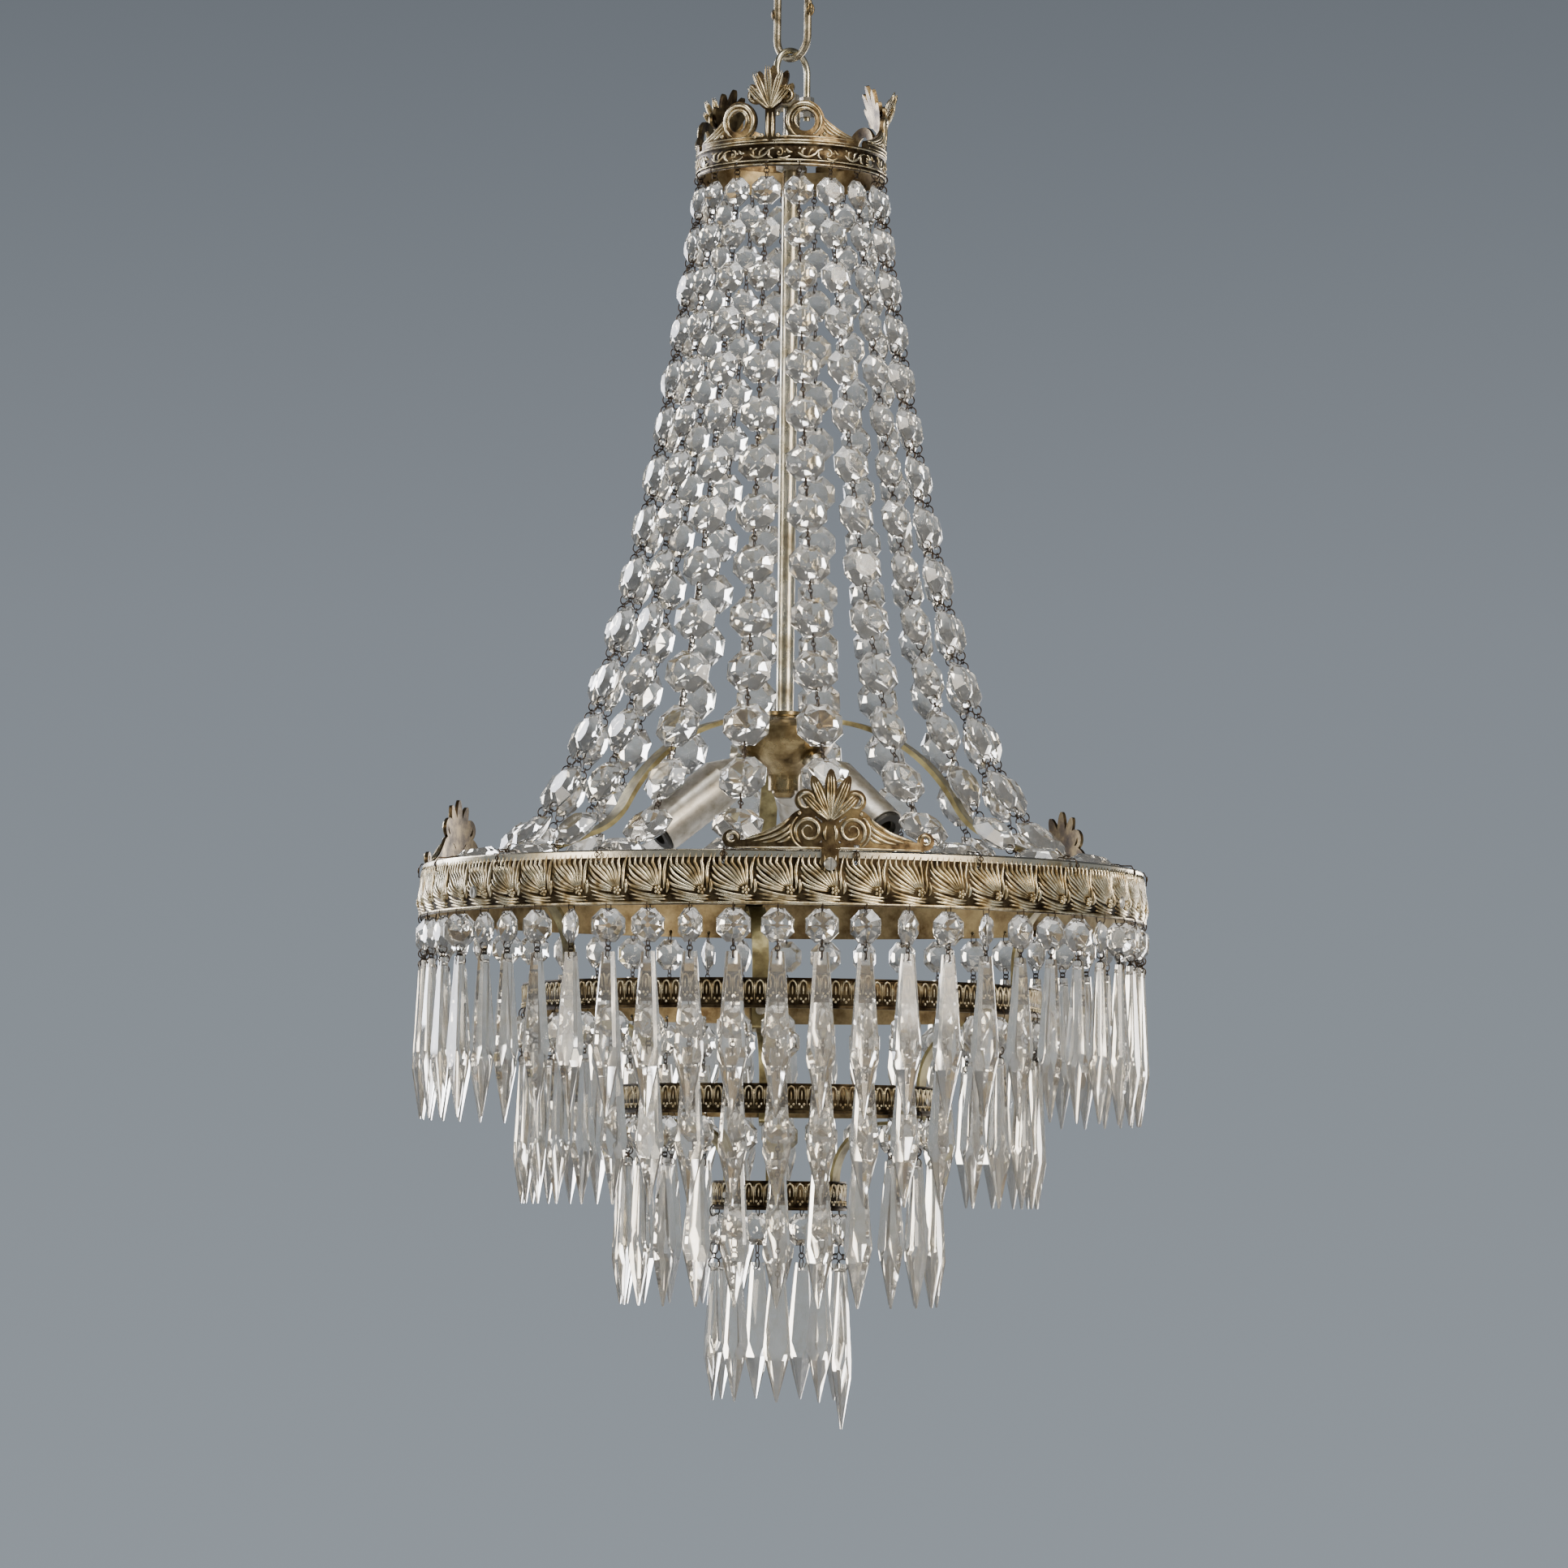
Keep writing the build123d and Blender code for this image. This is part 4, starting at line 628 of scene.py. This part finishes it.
strand_count, beads_each = 18, 15
top_bead, foot_bead = 16.0, 27.0
top_azimuth, foot_azimuth = 5.0, 11.0
crown_foot = crown_top - crown_height
hole_rise, hole_inset = 2.8, 2.2
strand_radius = crown_radius - 0.8
first_bead = crown_foot - 5.5 - top_bead / 2
sizes = np.linspace(top_bead, foot_bead, beads_each)
share = 1 - np.linspace(0, 1, 2001)
curve = np.stack([200 - (200 - strand_radius) * share, rim_top + (first_bead - rim_top) * share**3.1], axis=1)
run = np.concatenate([[0], np.cumsum(np.linalg.norm(np.diff(curve, axis=0), axis=1))])
strand_gap = (run[-1] - 10.0 - sizes.sum() + top_bead / 2) / (beads_each - 1)
places = np.concatenate([[0], np.cumsum(sizes[:-1] / 2 + strand_gap + sizes[1:] / 2)])


def strand_frame(distance):
    """Centre and directions (across, up the strand, out of the face) of a bead down the first strand."""
    azimuth = top_azimuth + (foot_azimuth - top_azimuth) * distance / places[-1]
    r, z = (np.interp(distance, run, curve[:, k]) for k in (0, 1))
    above, below = ([np.interp(distance + d, run, curve[:, k]) for k in (0, 1)] for d in (-0.3, 0.3))
    up = outward(azimuth) * (above[0] - below[0]) + np.array([0, 0, above[1] - below[1]])
    up /= np.linalg.norm(up)
    across = outward(azimuth + 90)
    return outward(azimuth) * r + np.array([0, 0, z]), np.array([across, up, np.cross(across, up)])


def turned(points, angle):
    """Points in mm turned about the stem."""
    c, s = cos(radians(angle)), sin(radians(angle))
    return points @ np.array([[c, s, 0], [-s, c, 0], [0, 0, 1]])


chance = np.random.default_rng(7)
frames = [strand_frame(distance) for distance in places]
bead_parts = []
for strand in range(strand_count):
    for size, (centre, axes) in zip(sizes, frames):
        verts, faces = octagon_bead(size)
        sway = radians(chance.normal(0, 5))
        swivel = np.array([[cos(sway), 0, sin(sway)], [0, 1, 0], [-sin(sway), 0, cos(sway)]])
        bead_parts.append((turned(centre + verts @ swivel @ axes, strand * 20), faces))
beads = put_together("strand_bead_crystals", bead_parts, bead_crystal, smooth=False)
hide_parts("strand_beads")

tier_feet = [ring_foot] + [top - tier_height for _, top, _ in tiers]
fringe_radii = [197.7] + [radius - 1.2 for radius, _, _ in tiers]
fringe_counts = (54, 38, 24, 9)
fringe_gaps = (4.8, 4.8, 4.8, 9.5)
octagon = 17.8
octagon_gap = 1.6
strap_azimuths = (65, 185, 305)


def fringe_azimuths(count, radius):
    """Azimuths of a tier's drops, where one that would meet a strap hangs just beside it."""
    least = degrees(5.9 / (radius - 1.1))
    places = []
    for azimuth in [fringe_azimuth + 360 * i / count for i in range(count)]:
        near = min(strap_azimuths, key=lambda strap_at: abs(azimuth - strap_at))
        if abs(azimuth - near) < least:
            azimuth = near + (least if azimuth >= near else -least)
        places.append(azimuth)
    return places


for number, (count, radius, foot) in enumerate(zip(fringe_counts, fringe_radii, tier_feet), start=1):
    parts = []
    for azimuth in fringe_azimuths(count, radius):
        turn = radians(chance.normal(0, 14) if chance.random() < 0.72 else chance.normal(0, 55))
        verts, faces = octagon_bead(octagon)
        across = outward(azimuth + 90) * cos(turn) + outward(azimuth) * sin(turn)
        axes = np.array([across, (0, 0, 1.0), np.cross(across, (0, 0, 1.0))])
        centre = outward(azimuth) * radius + np.array([0, 0, foot - octagon_gap - octagon / 2])
        parts.append((centre + verts @ axes, faces))
    name = f"tier_{number}_octagon_crystals"
    piece = put_together(name, parts, bead_crystal, smooth=False)
    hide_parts(f"tier_{number}_octagons")
dress(spear_crystal, "tier_1_spears", "tier_2_spears", "tier_3_spears")
dress(spear_crystal, *[f"bottom_spear_{i}" for i in range(1, 10)])

# ---------------------------------------------------------------- Wires
# Soft steel wire, blackened. Each tie hooks a hole with a long loop, and two loops meet in a small round eye.
# Those at the crown are longer, and those at the ring go over its rim.
wire_black, tree, shader = new_material("steel_wire_blackened", Metallic=1.0)
place = add_node(tree, "ShaderNodeTexCoord")
rust = add_node(
    tree, "ShaderNodeTexNoise", {"Scale": 1 / (2 * mm), "Detail": 3.0}, {"Vector": (place, "Object")}
)
tone = add_node(tree, "ShaderNodeValToRGB", links={"Fac": (rust, "Fac")})
tone.color_ramp.elements[0].position, tone.color_ramp.elements[0].color = 0.35, linear("#1d1712")
tone.color_ramp.elements[1].position, tone.color_ramp.elements[1].color = 0.7, linear("#5a4a38")
tree.links.new(tone.outputs["Color"], shader.inputs["Base Color"])
dull = add_node(tree, "ShaderNodeMapRange", {"To Min": 0.38, "To Max": 0.55}, {"Value": (rust, "Fac")})
tree.links.new(dull.outputs["Result"], shader.inputs["Roughness"])
wire = 0.7


def closed_wire(points):
    """Closed wire of square section along a ring of points in mm."""
    points = np.array(points, float)
    way = np.roll(points, -1, axis=0) - np.roll(points, 1, axis=0)
    way /= np.linalg.norm(way, axis=1)[:, None]
    normal = np.cross(points - points.mean(axis=0), way)
    normal /= np.linalg.norm(normal, axis=1)[:, None]
    side = np.cross(way, normal)
    half = wire / 2
    verts = np.concatenate(
        [points + half * side, points + half * normal, points - half * side, points - half * normal]
    )
    n = len(points)
    faces = [
        (k * n + i, k * n + (i + 1) % n, ((k + 1) % 4) * n + (i + 1) % n, ((k + 1) % 4) * n + i)
        for k in range(4)
        for i in range(n)
    ]
    return verts, faces


def ellipse(centre, u, v, half_u, half_v, count=12):
    """Points of an ellipse about a centre, in the plane of two directions."""
    turns = np.linspace(0, 2 * pi, count, endpoint=False)
    return [centre + u * half_u * cos(t) + v * half_v * sin(t) for t in turns]


def tie(start, end, face, bend=None):
    """Loops from two holes that meet in an eye. The wire goes through the holes along face, and the second
    loop is a circle if bend gives its radius."""
    span = end - start
    length = np.linalg.norm(span)
    down = span / length
    face = face - down * (face @ down)
    face /= np.linalg.norm(face)
    across = np.cross(down, face)
    reach = length / 2 - 0.6
    middle = (start + end) / 2
    half = bend or reach / 2
    return [
        closed_wire(ellipse(start + down * (reach / 2), down, face, reach / 2, min(2.4, reach / 2))),
        closed_wire(ellipse(end - down * half, down, face, half, bend or min(2.4, half), 16 if bend else 12)),
        closed_wire(ellipse(middle, down, (across + 0.5 * face) / 1.12, 1.5, 1.4, 10)),
    ]


def hole(frame_at, size, side):
    """Place of the hole at the top (1) or foot (-1) of a bead."""
    centre, axes = frame_at
    return centre + axes[1] * side * (size / 2 - hole_inset)


ties = tie(
    outward(top_azimuth) * strand_radius + np.array([0, 0, crown_foot + hole_rise]),
    hole(frames[0], sizes[0], 1),
    outward(top_azimuth),
)
for i in range(beads_each - 1):
    face = frames[i][1][2] + frames[i + 1][1][2]
    ties += tie(hole(frames[i], sizes[i], -1), hole(frames[i + 1], sizes[i + 1], 1), face)
last = hole(frames[-1], sizes[-1], -1)
out, up = outward(foot_azimuth), np.array([0, 0, 1.0])
r_last = last @ out
ties.append(
    closed_wire(
        [
            last + frames[-1][1][2] * 2.6,
            out * (r_last + 4) + up * (rim_top + 1.6),
            out * 193.4 + up * (rim_top + 1.0),
            out * 199.2 + up * (rim_top + 0.9),
            out * 200.6 + up * (rim_top - 1.6),
            out * 200.6 + up * (rim_top - 6.2),
            out * 198 + up * (rim_top - 6.8),
            out * 192.4 + up * (rim_top - 6.6),
            last - frames[-1][1][2] * 2.6,
        ]
    )
)
rim_eye = out * 200.9 + up * (rim_top - 2.6)
ties.append(closed_wire(ellipse(rim_eye, outward(foot_azimuth + 90), up, 1.3, 1.3, 10)))
tie_parts = [
    (turned(verts, strand * 20), faces) for strand in range(strand_count) for verts, faces in ties
]
piece = put_together("strand_ties", tie_parts, wire_black)
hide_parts("strand_loops")

fringe_parts = []
spear_eye = 3.142
for count, radius, foot, gap in zip(fringe_counts, fringe_radii, tier_feet, fringe_gaps):
    bend = spear_eye if count == fringe_counts[-1] else None
    for azimuth in fringe_azimuths(count, radius):
        out = outward(azimuth)
        top = foot - octagon_gap
        low = top - octagon
        hole_heights = (foot + hole_rise, top - hole_inset, low + hole_inset, low - gap - 3.6)
        points = [out * radius + up * z for z in hole_heights]
        centre = (points[0] + points[1]) / 2
        fringe_parts.append(closed_wire(ellipse(centre, up, out, (points[0][2] - points[1][2]) / 2, 2.6)))
        fringe_parts += tie(points[2], points[3], out, bend)
piece = put_together("fringe_ties", fringe_parts, wire_black)
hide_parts("fringe_loops")

# ---------------------------------------------------------------- Studio
# A pale floor far below, a plain grey ground behind, and large soft lights to the right, left, above and
# behind. The floor is seen in its own colour out to its edge, and still takes the shadow.
bpy.ops.object.select_all(action="DESELECT")
bpy.ops.mesh.primitive_plane_add(size=16, location=(0, 0, -2.1))
floor = bpy.context.object
floor.name = "studio_floor"
painted, tree, shader = new_material("floor_paint_pale", Roughness=0.7)
shader.inputs["Base Color"].default_value = linear("#c4c5c8")
shader.inputs["Emission Color"].default_value = linear("#9aa3ab")
path = add_node(tree, "ShaderNodeLightPath")
seen = path.outputs["Is Camera Ray"]
for ray in ("Is Glossy Ray", "Is Transmission Ray"):
    either = add_node(tree, "ShaderNodeMath", {"operation": "MAXIMUM"})
    tree.links.new(seen, either.inputs[0])
    tree.links.new(path.outputs[ray], either.inputs[1])
    seen = either.outputs["Value"]
glow = add_node(tree, "ShaderNodeMath", {"operation": "MULTIPLY"})
glow.inputs[1].default_value = 0.6
tree.links.new(seen, glow.inputs[0])
tree.links.new(glow.outputs["Value"], shader.inputs["Emission Strength"])
floor.data.materials.append(painted)

world = bpy.data.worlds.new("soft_studio")
bpy.context.scene.world = world
world.use_nodes = True
tree = world.node_tree
tree.nodes.clear()
sight = add_node(tree, "ShaderNodeTexCoord")
split = add_node(tree, "ShaderNodeSeparateXYZ", links={"Vector": (sight, "Generated")})
level = add_node(
    tree, "ShaderNodeMapRange", {"From Min": -0.12, "From Max": 0.6}, {"Value": (split, "Z")}
)
ground = add_node(tree, "ShaderNodeValToRGB", links={"Fac": (level, "Result")})
ground.color_ramp.elements[0].color = linear("#9aa3ab")
ground.color_ramp.elements[1].color = linear("#474b50")
ground.color_ramp.elements.new(0.3).color = linear("#858c94")
ground.color_ramp.elements.new(0.5).color = linear("#62686f")
world_light = add_node(tree, "ShaderNodeBackground", {"Strength": 1.0}, {"Color": (ground, "Color")})
add_node(tree, "ShaderNodeOutputWorld", links={"Surface": (world_light, "Background")})


def softbox(name, azimuth, distance, height, size, power, colour):
    """Square lamp that looks at the middle of the chandelier."""
    target = Vector((0, 0, -0.5))
    place = Vector((*(outward(azimuth)[:2] * distance), height))
    aim = (target - place).to_track_quat("-Z", "Y").to_euler()
    bpy.ops.object.light_add(type="AREA", location=place, rotation=aim)
    lamp = bpy.context.object
    lamp.name = name
    lamp.data.shape = "SQUARE"
    lamp.data.size = size
    lamp.data.energy = power
    lamp.data.color = linear(colour)[:3]


softbox("lamp_right", 44, 3.0, 0.5, 1.6, 105, "#fff3e2")
softbox("lamp_left", -66, 3.0, -0.1, 1.1, 27, "#fff6e8")
softbox("lamp_top", 10, 1.2, 2.2, 1.6, 75, "#ffffff")
softbox("lamp_back_left", -135, 3.0, 0.3, 1.6, 95, "#f4f6ff")
softbox("lamp_back_right", 150, 3.0, -0.8, 1.3, 50, "#fff8f0")

low, high = cad_bounds
